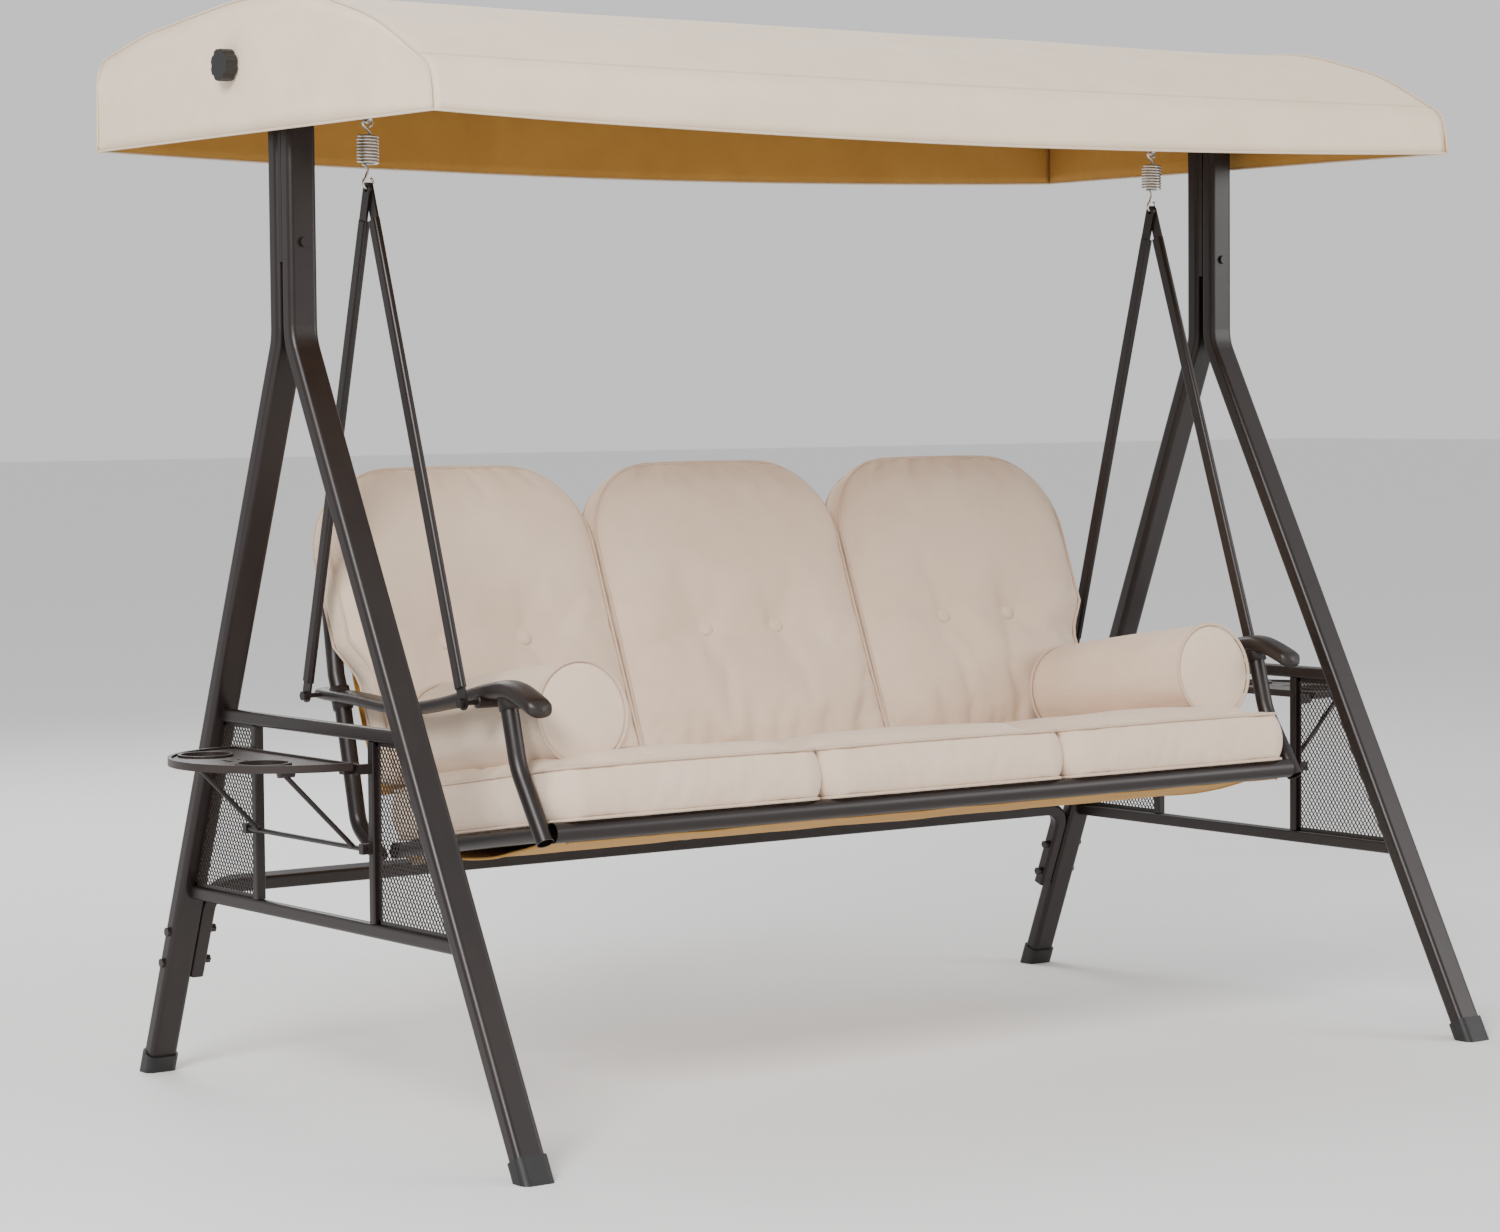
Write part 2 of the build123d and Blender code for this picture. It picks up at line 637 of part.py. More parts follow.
def canopy_cover():
    """Sewn cover: one curved top, front and rear valances and two end panels, open below."""
    outer = canopy_outline(0)
    inner = canopy_outline(CLOTH)
    with BuildPart() as cover:
        extrude(outer.sketch.moved(Location((-HALF_CANOPY, 0, 0))), amount=2 * HALF_CANOPY)
        extrude(
            inner.sketch.moved(Location((-HALF_CANOPY + CLOTH, 0, 0))),
            amount=2 * (HALF_CANOPY - CLOTH),
            mode=Mode.SUBTRACT,
        )
        with BuildSketch(Plane.YZ.offset(-1200)):
            with Locations((PIVOT_Y, PIVOT_Z)):
                Circle(STUD_R + 2)
        extrude(amount=2400, mode=Mode.SUBTRACT)
    finish(cover, "canopy_cover")


FRONT_TUBE, REAR_TUBE, RIDGE_TUBE = (-423.0, 1590.0), (572.0, 1640.0), (20.0, 1716.0)


def canopy_cross_tubes():
    half = ARCH_X - ARCH_R - GAP
    with BuildPart() as tubes:
        with BuildSketch(Plane.YZ.offset(-half)):
            with Locations(FRONT_TUBE, REAR_TUBE, RIDGE_TUBE):
                Circle(ARCH_R)
                Circle(ARCH_R - WALL, mode=Mode.SUBTRACT)
        extrude(amount=2 * half)
    finish(tubes, "canopy_cross_tubes")


def canopy_arch(side, sx):
    """Bent end hoop with the lug that turns on the stud."""
    x = sx * ARCH_X
    hoop = (
        (x, *FRONT_TUBE),
        (x, -372, 1620),
        (x, -150, 1702),
        (x, 40, 1720),
        (x, 264, 1708),
        (x, 500, 1679),
        (x, *REAR_TUBE),
    )
    lug_x = ARCH_X - ARCH_R - 4
    with BuildPart() as arch:
        with BuildLine() as path:
            FilletPolyline(*hoop, radius=24)
        with BuildSketch(Plane(origin=path.line @ 0, z_dir=path.line % 0)):
            Circle(ARCH_R)
            Circle(ARCH_R - WALL, mode=Mode.SUBTRACT)
        sweep()
        with BuildSketch(Plane.YZ.offset(sx * lug_x)):
            with BuildLine():
                Polyline(
                    (PIVOT_Y - 16, PIVOT_Z - 16),
                    (PIVOT_Y + 16, PIVOT_Z - 16),
                    (PIVOT_Y + 30, 1708),
                    (PIVOT_Y - 30, 1712),
                    close=True,
                )
            make_face()
            with Locations((PIVOT_Y, PIVOT_Z)):
                Circle(STUD_R + CLEARANCE, mode=Mode.SUBTRACT)
        extrude(amount=sx * 6)
    finish(arch, f"{side}_canopy_arch")


def knob(side, sx):
    """Lobed hand knob that clamps the canopy at its tilt."""
    start = HALF_CANOPY + 1.5
    with BuildPart() as grip:
        with BuildSketch(Plane.YZ.offset(sx * start)):
            with Locations((PIVOT_Y, PIVOT_Z)):
                Circle(KNOB_R)
            with Locations((PIVOT_Y, PIVOT_Z)):
                with PolarLocations(KNOB_R + 3.5, 8):
                    Circle(6, mode=Mode.SUBTRACT)
        extrude(amount=sx * KNOB_THICK)
        with BuildSketch(Plane.YZ.offset(sx * start)):
            with Locations((PIVOT_Y, PIVOT_Z)):
                Circle(STUD_R + CLEARANCE)
        extrude(amount=sx * 14, mode=Mode.SUBTRACT)
    finish(grip, f"{side}_knob")


# --- trays -------------------------------------------------------------------
def tray_brackets(side, sx):
    """Ears on the upright bars: hinge pins for the tray and eyes for its brace."""
    face = FRAME_X + BAR / 2
    pin_inner = ((REAR_BAR_Y - 6, -1), (FRONT_BAR_Y + 6, 1))
    with BuildPart() as ears:
        for bar_y in (FRONT_BAR_Y, REAR_BAR_Y):
            for low, high, reach in ((TRAY_UNDER_Z - 7, TRAY_UNDER_Z + 8, TRAY_HINGE_X + 6),
                                     (BRACE_Z - 8, BRACE_Z + 8, BRACE_X + 5.5)):
                with BuildSketch(Plane.XY.offset(low)):
                    with Locations((sx * (face + reach) / 2, bar_y)):
                        Rectangle(reach - face, 12)
                extrude(amount=high - low)
        with Locations(Location((sx * BRACE_X, 0, BRACE_Z), (90, 0, 0))):
            Cylinder(BRACE_R + CLEARANCE, 600, mode=Mode.SUBTRACT)
        for start, toward in pin_inner:
            with BuildSketch(Plane.XZ.offset(-start)):
                with Locations((sx * TRAY_HINGE_X, TRAY_UNDER_Z)):
                    Circle(PIN_R)
            extrude(amount=-toward * 16)
    finish(ears, f"{side}_tray_brackets")


def tray_plan(sx, inset=0.0):
    """D-shaped outline of the tray seen from above, drawn in by an inset."""
    with BuildSketch() as plan:
        with Locations((TRAY_INNER_X, TRAY_MIDDLE_Y)):
            Ellipse(TRAY_REACH - inset, TRAY_HALF_WIDE - inset)
        with Locations((TRAY_INNER_X + inset + TRAY_REACH / 2, TRAY_MIDDLE_Y)):
            Rectangle(TRAY_REACH, 2 * TRAY_HALF_WIDE, mode=Mode.INTERSECT)
    outline = plan.sketch
    return mirror(outline, about=Plane.YZ) if sx < 0 else outline


def tray(side, sx):
    """Drop-leaf tray with a raised rim and two cup wells, hinged on the side frame."""
    top = Plane.XY.offset(TRAY_UNDER_Z + TRAY_THICK)
    cups = [(sx * CUP_X, TRAY_MIDDLE_Y - CUP_SPREAD), (sx * CUP_X, TRAY_MIDDLE_Y + CUP_SPREAD)]
    with BuildPart() as leaf:
        with BuildSketch(Plane.XY.offset(TRAY_UNDER_Z)):
            add(tray_plan(sx))
        extrude(amount=TRAY_THICK)
        with BuildSketch(top):
            add(tray_plan(sx, TRAY_RIM))
            with Locations(*cups):
                Circle(CUP_R + 5, mode=Mode.SUBTRACT)
        extrude(amount=-TRAY_RIM_DEPTH, mode=Mode.SUBTRACT)
        lug_inner, lug_outer = TRAY_HINGE_X - 7, TRAY_HINGE_X + 20
        for y in (FRONT_BAR_Y + 17, REAR_BAR_Y - 17):
            with BuildSketch(Plane.XY.offset(TRAY_UNDER_Z - 7)):
                with Locations((sx * (lug_inner + lug_outer) / 2, y)):
                    Rectangle(lug_outer - lug_inner, 16)
            extrude(amount=7 + TRAY_THICK - TRAY_RIM_DEPTH)
        with Locations(Location((sx * TRAY_HINGE_X, 0, TRAY_UNDER_Z), (90, 0, 0))):
            Cylinder(PIN_R + CLEARANCE, 600, mode=Mode.SUBTRACT)
        with BuildSketch(top):
            with Locations(*cups):
                Circle(CUP_R)
        extrude(amount=-9, mode=Mode.SUBTRACT)
        with BuildSketch(top):
            with Locations((sx * (CUP_X + 12), TRAY_MIDDLE_Y)):
                SlotOverall(34, 8, rotation=90)
            with Locations((sx * (CUP_X - 14), TRAY_MIDDLE_Y + 12), (sx * (CUP_X - 14), TRAY_MIDDLE_Y - 12)):
                Circle(4)
        extrude(amount=-TRAY_THICK, mode=Mode.SUBTRACT)
    finish(leaf, f"{side}_tray")


def tray_brace(side, sx):
    """Bent rod that props the tray: a pivot rod and two arms."""
    rod_front, rod_rear = FRONT_BAR_Y - 4, REAR_BAR_Y + 4
    with BuildPart() as brace:
        with BuildSketch(Plane.XZ.offset(-rod_rear)):
            with Locations((sx * BRACE_X, BRACE_Z)):
                Circle(BRACE_R)
        extrude(amount=rod_rear - rod_front)
        for y in (FRONT_BAR_Y + 30, REAR_BAR_Y - 40):
            base = (sx * BRACE_X, y, BRACE_Z)
            with BuildSketch(Plane(origin=base, x_dir=(0, 1, 0), z_dir=(sx, 0, 1))):
                Circle(BRACE_R)
            extrude(amount=BRACE_REACH * 2 ** 0.5)
    finish(brace, f"{side}_tray_brace")


foot_caps()
top_beam()
beam_eyes()
canopy_studs()
rear_crossbeam()
frame_bolts()
hanger_bolts()
cross_rails()
slings()
cushions()
cushion_straps()
canopy_cover()
canopy_cross_tubes()
for side, sx in SIDES:
    for front in (True, False):
        leg(side, sx, front)
        hanger(side, sx, front)
    top_bracket(side, sx)
    side_rails(side, sx)
    side_bars(side, sx)
    mesh_panels(side, sx)
    spring(side, sx)
    armrest(side, sx)
    front_post(side, sx)
    back_upright(side, sx)
    seat_side_rail(side, sx)
    bolster(side, sx)
    canopy_arch(side, sx)
    knob(side, sx)
    tray_brackets(side, sx)
    tray(side, sx)
    tray_brace(side, sx)
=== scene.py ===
"""Looks of the canopy swing bench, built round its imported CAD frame. Metres, -Y front, +Z up."""
import json
from math import acos, atan2, ceil, cos, exp, hypot, pi, radians, sin, sqrt, tan

import bpy
from mathutils import Matrix, Vector, noise
from mathutils.bvhtree import BVHTree


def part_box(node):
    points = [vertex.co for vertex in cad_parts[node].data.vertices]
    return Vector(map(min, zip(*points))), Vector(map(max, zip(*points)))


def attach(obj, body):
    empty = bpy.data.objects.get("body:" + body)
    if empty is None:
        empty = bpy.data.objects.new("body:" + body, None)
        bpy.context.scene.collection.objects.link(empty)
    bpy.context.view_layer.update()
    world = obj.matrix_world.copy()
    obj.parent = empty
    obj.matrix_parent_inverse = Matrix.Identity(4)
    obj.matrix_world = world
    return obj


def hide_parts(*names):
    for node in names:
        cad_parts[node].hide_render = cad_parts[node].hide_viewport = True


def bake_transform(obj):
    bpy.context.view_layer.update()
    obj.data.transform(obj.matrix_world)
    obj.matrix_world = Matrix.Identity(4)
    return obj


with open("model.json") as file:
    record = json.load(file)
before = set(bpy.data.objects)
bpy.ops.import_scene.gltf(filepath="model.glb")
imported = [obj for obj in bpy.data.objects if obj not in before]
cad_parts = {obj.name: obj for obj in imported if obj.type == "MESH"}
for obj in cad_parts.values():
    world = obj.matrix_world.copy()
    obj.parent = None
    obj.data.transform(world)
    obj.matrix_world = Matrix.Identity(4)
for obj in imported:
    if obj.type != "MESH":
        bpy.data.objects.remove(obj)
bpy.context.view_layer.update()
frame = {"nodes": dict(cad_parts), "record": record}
scene = bpy.context.scene

SIDES = (("left", -1), ("right", 1))
SEAT_TILT, BACK_TILT = radians(8.5), radians(22)
RIDGE_Y = 0.02                      # the canopy's middle cross tube
ARM_X = 0.780
COIL_LOW, COIL_HIGH, COIL_TURNS = 1.490, 1.537, 9.5
HOOK_R, SPRING_WIRE = 0.009, 0.0022
BOLSTER_R, BOLSTER_LONG = 0.081, 0.394
CLOTH_THICK = 0.0012
POST_Y_LOW, POST_Y_HIGH, BEND_Z = 0.056, 0.096, 1.215    # where the legs' outlines meet the uprights
FRONT_FOOT_Y, REAR_FOOT_Y = -0.5816, 0.579


# --- camera, light, floor ----------------------------------------------------
def axes_of(yaw, pitch, roll):
    """Right, up and forward vectors of a camera turned by yaw from +Y, then pitch, then roll."""
    forward = Vector((sin(yaw) * cos(pitch), cos(yaw) * cos(pitch), sin(pitch)))
    level = Vector((cos(yaw), -sin(yaw), 0))
    upright = level.cross(forward)
    right = level * cos(roll) + upright * sin(roll)
    up = -level * sin(roll) + upright * cos(roll)
    return right, up, forward


def add_camera():
    data = bpy.data.cameras.new("view")
    data.sensor_width = 36
    data.lens = 91.04
    data.shift_x = 0.0097
    data.shift_y = -0.0026
    camera = bpy.data.objects.new("view", data)
    right, up, forward = axes_of(radians(35.927), radians(-3.266), radians(-0.487))
    turn = Matrix((right, up, -forward)).transposed().to_4x4()
    camera.matrix_world = Matrix.Translation((-3.8786, -5.1068, 1.1225)) @ turn
    scene.collection.objects.link(camera)
    scene.camera = camera


def add_area(name, place, aim, size, watts):
    data = bpy.data.lights.new(name, "AREA")
    data.shape = "DISK"
    data.size = size
    data.energy = watts
    light = bpy.data.objects.new(name, data)
    light.location = place
    light.rotation_euler = (Vector(aim) - Vector(place)).to_track_quat("-Z", "Y").to_euler()
    scene.collection.objects.link(light)


def add_studio():
    add_area("key", (-5.2, -3.6, 4.4), (0, 0, 0.8), 2.6, 500)
    add_area("fill", (4.8, -4.8, 2.6), (0, 0, 0.8), 3.5, 160)
    add_area("back", (0.5, 4.8, 4.2), (0, 0, 1.0), 3.5, 170)
    world = bpy.data.worlds.new("studio")
    world.use_nodes = True
    world.node_tree.nodes["Background"].inputs["Color"].default_value = (1, 1, 1, 1)
    world.node_tree.nodes["Background"].inputs["Strength"].default_value = 0.85
    scene.world = world


# --- node materials ----------------------------------------------------------
class Nodes:
    """A material with a Principled shader and short calls for the nodes that feed it."""

    def __init__(self, name, **constants):
        self.material = bpy.data.materials.new(name)
        self.material.use_nodes = True
        self.tree = self.material.node_tree
        self.shader = self.tree.nodes["Principled BSDF"]
        for socket, value in constants.items():
            self.shader.inputs[socket.replace("_", " ")].default_value = value
        self.coords = self.tree.nodes.new("ShaderNodeTexCoord").outputs["Object"]

    def node(self, kind, inputs=(), **settings):
        made = self.tree.nodes.new("ShaderNode" + kind)
        for key, value in settings.items():
            setattr(made, key, value)
        for socket, value in dict(inputs).items():
            if isinstance(value, bpy.types.NodeSocket):
                self.tree.links.new(value, made.inputs[socket])
            else:
                made.inputs[socket].default_value = value
        return made

    def noise(self, scale, detail=3, rough=0.55, stretch=None):
        coords = self.coords
        if stretch:
            coords = self.node("Mapping", {"Vector": coords, "Scale": stretch}).outputs[0]
        return self.node(
            "TexNoise", {"Vector": coords, "Scale": scale, "Detail": detail, "Roughness": rough}
        ).outputs["Fac"]

    def wave(self, axis, scale):
        made = self.node(
            "TexWave", {"Vector": self.coords, "Scale": scale}, bands_direction=axis, wave_profile="SIN"
        )
        return made.outputs["Fac"]

    def math(self, operation, a, b):
        return self.node("Math", {0: a, 1: b}, operation=operation).outputs[0]

    def ramp(self, value, low, high, span=(0.0, 1.0)):
        made = self.node("ValToRGB", {"Fac": value})
        made.color_ramp.elements[0].position, made.color_ramp.elements[1].position = span
        made.color_ramp.elements[0].color = (*low, 1)
        made.color_ramp.elements[1].color = (*high, 1)
        return made.outputs["Color"]

    def span(self, value, low, high):
        return self.node("MapRange", {"Value": value, "To Min": low, "To Max": high}).outputs["Result"]

    def link(self, output, socket):
        self.tree.links.new(output, self.shader.inputs[socket])

    def bump(self, height, strength, distance):
        made = self.node("Bump", {"Height": height, "Strength": strength, "Distance": distance})
        self.link(made.outputs["Normal"], "Normal")


def cloth_material(name, low, high, thread=260.0, rough=0.86, sheen=0.25):
    """Plain-woven cloth: crossed threads, slubs, faint mottling and soft creases."""
    m = Nodes(name, Sheen_Weight=sheen, Sheen_Roughness=0.45, Specular_IOR_Level=0.25)
    warp = m.math("MULTIPLY", m.wave("X", thread), m.wave("Y", thread))
    weave = m.math("MAXIMUM", warp, m.math("MULTIPLY", m.wave("X", thread), m.wave("Z", thread)))
    slub = m.noise(420, 2, 0.6, stretch=(1, 0.25, 0.25))
    mottle = m.noise(9, 4, 0.6)
    tone = m.math("ADD", m.math("MULTIPLY", mottle, 0.75), m.math("MULTIPLY", slub, 0.25))
    m.link(m.ramp(tone, low, high, (0.3, 0.7)), "Base Color")
    m.link(m.span(mottle, rough - 0.05, rough + 0.06), "Roughness")
    creases = m.math("MULTIPLY", m.noise(26, 3, 0.5), 2.2)
    relief = m.math("ADD", m.math("MULTIPLY", slub, 0.4), creases)
    height = m.math("ADD", m.math("MULTIPLY", weave, 0.35), relief)
    m.bump(height, 0.35, 0.0012)
    return m.material


def paint_material(name, low, high, metallic=0.3, rough=(0.30, 0.46), scuff=(0.05, 0.036, 0.030)):
    """Powder-coated steel: fine orange peel, uneven gloss and small pale scuffs."""
    m = Nodes(name, Metallic=metallic, Specular_IOR_Level=0.5)
    speck = m.noise(900, 2, 0.7)
    cloudy = m.noise(7, 4, 0.6)
    tone = m.math("ADD", m.math("MULTIPLY", cloudy, 0.7), m.math("MULTIPLY", speck, 0.3))
    base = m.ramp(tone, low, high, (0.3, 0.75))
    marks = m.ramp(m.noise(38, 6, 0.75, stretch=(1, 1, 0.3)), (0, 0, 0), (0.5, 0.5, 0.5), (0.70, 0.82))
    mixed = m.node("Mix", data_type="RGBA")
    m.tree.links.new(marks, mixed.inputs["Factor"])
    m.tree.links.new(base, mixed.inputs["A"])
    mixed.inputs["B"].default_value = (*scuff, 1)
    m.link(mixed.outputs["Result"], "Base Color")
    m.link(m.span(cloudy, *rough), "Roughness")
    m.bump(m.noise(520, 2, 0.5), 0.12, 0.0004)
    return m.material


def plastic_material(name, low, high, rough=(0.42, 0.6), grain=700, strength=0.25):
    """Moulded plastic with a spark-eroded grain and faint handling marks."""
    m = Nodes(name, Specular_IOR_Level=0.45)
    marks = m.noise(12, 5, 0.65)
    m.link(m.ramp(marks, low, high, (0.3, 0.75)), "Base Color")
    m.link(m.span(m.noise(30, 4, 0.6), *rough), "Roughness")
    m.bump(m.noise(grain, 3, 0.6), strength, 0.0005)
    return m.material


def zinc_material(name):
    """Zinc-plated wire: bright, slightly yellowed and drawn along its length."""
    m = Nodes(name, Metallic=1.0)
    m.link(m.ramp(m.noise(60, 4, 0.6), (0.50, 0.50, 0.47), (0.78, 0.78, 0.76), (0.3, 0.7)), "Base Color")
    m.link(m.span(m.noise(300, 3, 0.6), 0.22, 0.42), "Roughness")
    m.bump(m.noise(900, 2, 0.6), 0.15, 0.0003)
    return m.material


def floor_material():
    m = Nodes("studio_floor", Roughness=0.9, Specular_IOR_Level=0.1)
    m.link(m.ramp(m.noise(3, 2), (0.80, 0.80, 0.80), (0.83, 0.83, 0.83)), "Base Color")
    return m.material


BRONZE = paint_material(
    "bronze_powder_coat", (0.0095, 0.0058, 0.0050), (0.017, 0.0105, 0.0088), metallic=0.15
)
CUSHION = cloth_material("cushion_cloth", (0.69, 0.53, 0.40), (0.77, 0.605, 0.47))
CANOPY = cloth_material(
    "canopy_cloth", (0.79, 0.635, 0.465), (0.85, 0.705, 0.535), thread=300.0, sheen=0.15
)
CANOPY_WELT = cloth_material("canopy_welt", (0.66, 0.53, 0.385), (0.72, 0.59, 0.44), thread=300.0)
# Painted shade: a darker golden copy of the canopy cloth, for the canopy's inward faces and for the slings,
# which lie in shade under the canopy and cushions.
GOLDEN_SHADE_CLOTH = cloth_material("golden_painted_shade", (0.42, 0.22, 0.045), (0.50, 0.27, 0.06), thread=300.0, sheen=0.1)
WEBBING = cloth_material("webbing", (0.30, 0.22, 0.15), (0.38, 0.28, 0.20), thread=160.0)
THREAD = cloth_material("seam_welt", (0.58, 0.43, 0.32), (0.66, 0.50, 0.38), thread=400.0)
TRAY = plastic_material("tray_moulding", (0.016, 0.0095, 0.0075), (0.026, 0.0155, 0.0125), (0.34, 0.5))
ARM = plastic_material("arm_moulding", (0.011, 0.0068, 0.0058), (0.019, 0.0118, 0.0098), (0.32, 0.48))
BLACK = plastic_material("black_moulding", (0.008, 0.008, 0.008), (0.016, 0.015, 0.015))
ZINC = zinc_material("zinc_plate")
MATERIALS = {
    "bronze_paint": BRONZE, "foot_plastic": BLACK, "mesh_steel": BRONZE, "zinc_hardware": ZINC,
    "dark_hardware": BRONZE, "arm_plastic": ARM, "tray_plastic": TRAY, "knob_plastic": BLACK,
    "brace_steel": BRONZE, "sling_fabric": GOLDEN_SHADE_CLOTH, "canopy_fabric": CANOPY,
    "cushion_fabric": CUSHION, "strap_webbing": WEBBING,
}


def dress_frame():
    """Give every CAD node the procedural material of its slot."""
    for sub in frame["record"]["subparts"]:
        for slot in frame["nodes"][sub["node"]].material_slots:
            slot.material = MATERIALS[sub["material_slot"]]


# --- mesh helpers ------------------------------------------------------------
def new_piece(name, points, faces, materials, smooth=True):
    mesh = bpy.data.meshes.new(name)
    mesh.from_pydata([tuple(p) for p in points], [], faces)
    mesh.update()
    for material in materials:
        mesh.materials.append(material)
    for face in mesh.polygons:
        face.use_smooth = smooth
    obj = bpy.data.objects.new(name, mesh)
    scene.collection.objects.link(obj)
    return obj


def place_piece(obj, body, slot, *nodes):
    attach(obj, body)
    if nodes:
        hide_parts(*nodes)
    return obj


def grid_faces(rows, columns, start=0, flip=False, wrap=False):
    """Quads of a rows by columns grid of points, numbered row by row from start."""
    faces = []
    for r in range(rows - 1):
        for c in range(columns if wrap else columns - 1):
            n = (c + 1) % columns
            quad = [start + r * columns + c, start + r * columns + n,
                    start + (r + 1) * columns + n, start + (r + 1) * columns + c]
            faces.append(quad[::-1] if flip else quad)
    return faces


def tube_mesh(path, radius, sides=10, closed=False, start=0):
    """Points and faces of a round tube along a path of points."""
    points, faces = [], []
    count = len(path)
    side = None
    for i, p in enumerate(path):
        before = path[(i - 1) % count] if closed or i else p
        after = path[(i + 1) % count] if closed or i < count - 1 else p
        along = (Vector(after) - Vector(before)).normalized()
        if side is None:
            side = along.orthogonal().normalized()
        side = (side - along * side.dot(along)).normalized()
        other = along.cross(side)
        for k in range(sides):
            turn = 2 * pi * k / sides
            points.append(Vector(p) + (side * cos(turn) + other * sin(turn)) * radius)
    rows = list(range(count)) + ([0] if closed else [])
    for a, b in zip(rows, rows[1:]):
        for k in range(sides):
            n = (k + 1) % sides
            faces.append([start + a * sides + k, start + a * sides + n,
                          start + b * sides + n, start + b * sides + k])
    if not closed:
        faces.append([start + k for k in reversed(range(sides))])
        faces.append([start + (count - 1) * sides + k for k in range(sides)])
    return points, faces


def tubes_piece(name, paths, radius, materials, sides=10, closed=False):
    points, faces = [], []
    for path in paths:
        more, links = tube_mesh(path, radius, sides, closed, len(points))
        points += more
        faces += links
    return new_piece(name, points, faces, materials)


def rounded(corners, radii, step=0.012):
    """Points along a path in a plane whose inner corners are arcs of the given radii."""
    points = [Vector(corners[0])]
    for before, corner, after, radius in zip(corners, corners[1:], corners[2:], radii):
        a, b, c = Vector(before), Vector(corner), Vector(after)
        come, go = (a - b).normalized(), (c - b).normalized()
        half = acos(max(-1.0, min(1.0, come.dot(go)))) / 2
        reach = radius / tan(half)
        start, end = b + come * reach, b + go * reach
        centre = b + (come + go).normalized() * (radius / sin(half))
        turns = max(2, ceil((pi - 2 * half) * radius / step), ceil((pi - 2 * half) / radians(9)))
        for k in range(turns + 1):
            spoke = (start - centre).lerp(end - centre, k / turns).normalized()
            points.append(centre + spoke * radius)
    points.append(Vector(corners[-1]))
    return points


def resample(points, spacing):
    """The same path with points at an even spacing."""
    lengths = [0.0]
    for a, b in zip(points, points[1:]):
        lengths.append(lengths[-1] + (b - a).length)
    count = max(2, round(lengths[-1] / spacing))
    out, i = [], 0
    for k in range(count + 1):
        at = lengths[-1] * k / count
        while i < len(points) - 2 and lengths[i + 1] < at:
            i += 1
        share = (at - lengths[i]) / max(lengths[i + 1] - lengths[i], 1e-9)
        out.append(points[i].lerp(points[i + 1], share))
    return out, lengths[-1]


def thicken(obj, thickness, inner_material=1):
    """A real thickness, with the inward faces in the second material, the darker golden cloth of painted
    shade.
    """
    solid = obj.modifiers.new("thickness", "SOLIDIFY")
    solid.thickness = thickness
    solid.offset = -1
    solid.material_offset = inner_material


# --- canopy ------------------------------------------------------------------
def canopy_profile():
    """Front hem, over the crown, to the rear hem, as (Y, Z) points."""
    low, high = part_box("canopy_cover")
    front, rear, top, hem = low.y + 0.001, high.y - 0.001, high.z - 0.001, low.z
    corners = (
        (front, hem), (front + 0.007, top - 0.138), (-0.300, top - 0.060), (-0.100, top - 0.004),
        (0.120, top), (0.420, top - 0.028), (rear - 0.005, top - 0.062), (rear, hem),
    )
    return resample(rounded(corners, (0.045, 0.5, 0.6, 0.9, 0.9, 0.042)), 0.014)


def canopy():
    low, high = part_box("canopy_cover")
    half = high.x - 0.0015
    profile, length = canopy_profile()
    columns = 121
    points = []
    for i, p in enumerate(profile):
        hem_share = max(0.0, 1 - (p.y - low.z) / 0.12)
        on_top = min(1.0, max(0.0, (p.y - low.z - 0.10) / 0.06))
        for c in range(columns):
            s = -1 + 2 * c / (columns - 1)
            x = half * s
            end = abs(s) ** 14
            sag = hem_share * 0.018 * (1 - s * s)
            ripple = 0.0025 * noise.noise(Vector((x * 3.1, p.x * 6, 4.2))) * (1 - end)
            pucker = noise.noise(Vector((x * 9 + p.y * 12, p.y * 5, 9.4)))
            ripple += 0.0020 * pucker * (1 - end) * hem_share ** 3
            if p.x < RIDGE_Y:
                bay = min(1, max(0, (p.x + 0.40) / 0.42))
            else:
                bay = (p.x - RIDGE_Y) / 0.56
            between = sin(pi * bay)
            slack = on_top * 0.007 * max(0.0, between) * (1 - end)
            billow = 0.006 * hem_share * sin(7.3 * x + (1.5 if p.x < 0 else 4.0)) * (1 - end)
            y = p.x + (billow if p.x < 0 else -billow)
            y = min(max(y + ripple, low.y + 0.001), high.y - 0.001)
            points.append(Vector((x, y, p.y - sag - slack + ripple * on_top)))
    faces = grid_faces(len(profile), columns)
    rows = 9
    for sx in (-1, 1):
        column = 0 if sx < 0 else columns - 1
        numbers = []
        for i, p in enumerate(profile):
            numbers.append([i * columns + column])
            for r in range(1, rows):
                t = r / (rows - 1)
                z = p.y + (low.z - p.y) * t
                bulge = 0.004 * sin(pi * t) * max(0.0, 1 - abs(p.x - 0.07) / 0.5)
                dip = 0.003 * noise.noise(Vector((p.x * 5, z * 5, 1.7 * sx))) * sin(pi * t)
                numbers[-1].append(len(points))
                points.append(Vector((sx * (half - 0.003 * min(1.0, 5 * t) + bulge + dip), p.x, z)))
        for a, b in zip(numbers, numbers[1:]):
            for r in range(rows - 1):
                quad = [a[r], a[r + 1], b[r + 1], b[r]]
                faces.append(quad[::-1] if sx < 0 else quad)
    # The inward faces take the darker golden cloth: painted shade under the canopy.
    cover = new_piece("canopy_cloth_cover", points, faces, [CANOPY, GOLDEN_SHADE_CLOTH])
    thicken(cover, CLOTH_THICK)
    place_piece(cover, "canopy", "canopy_fabric", "canopy_cover")
    canopy_seams(points, profile, columns, half, low)


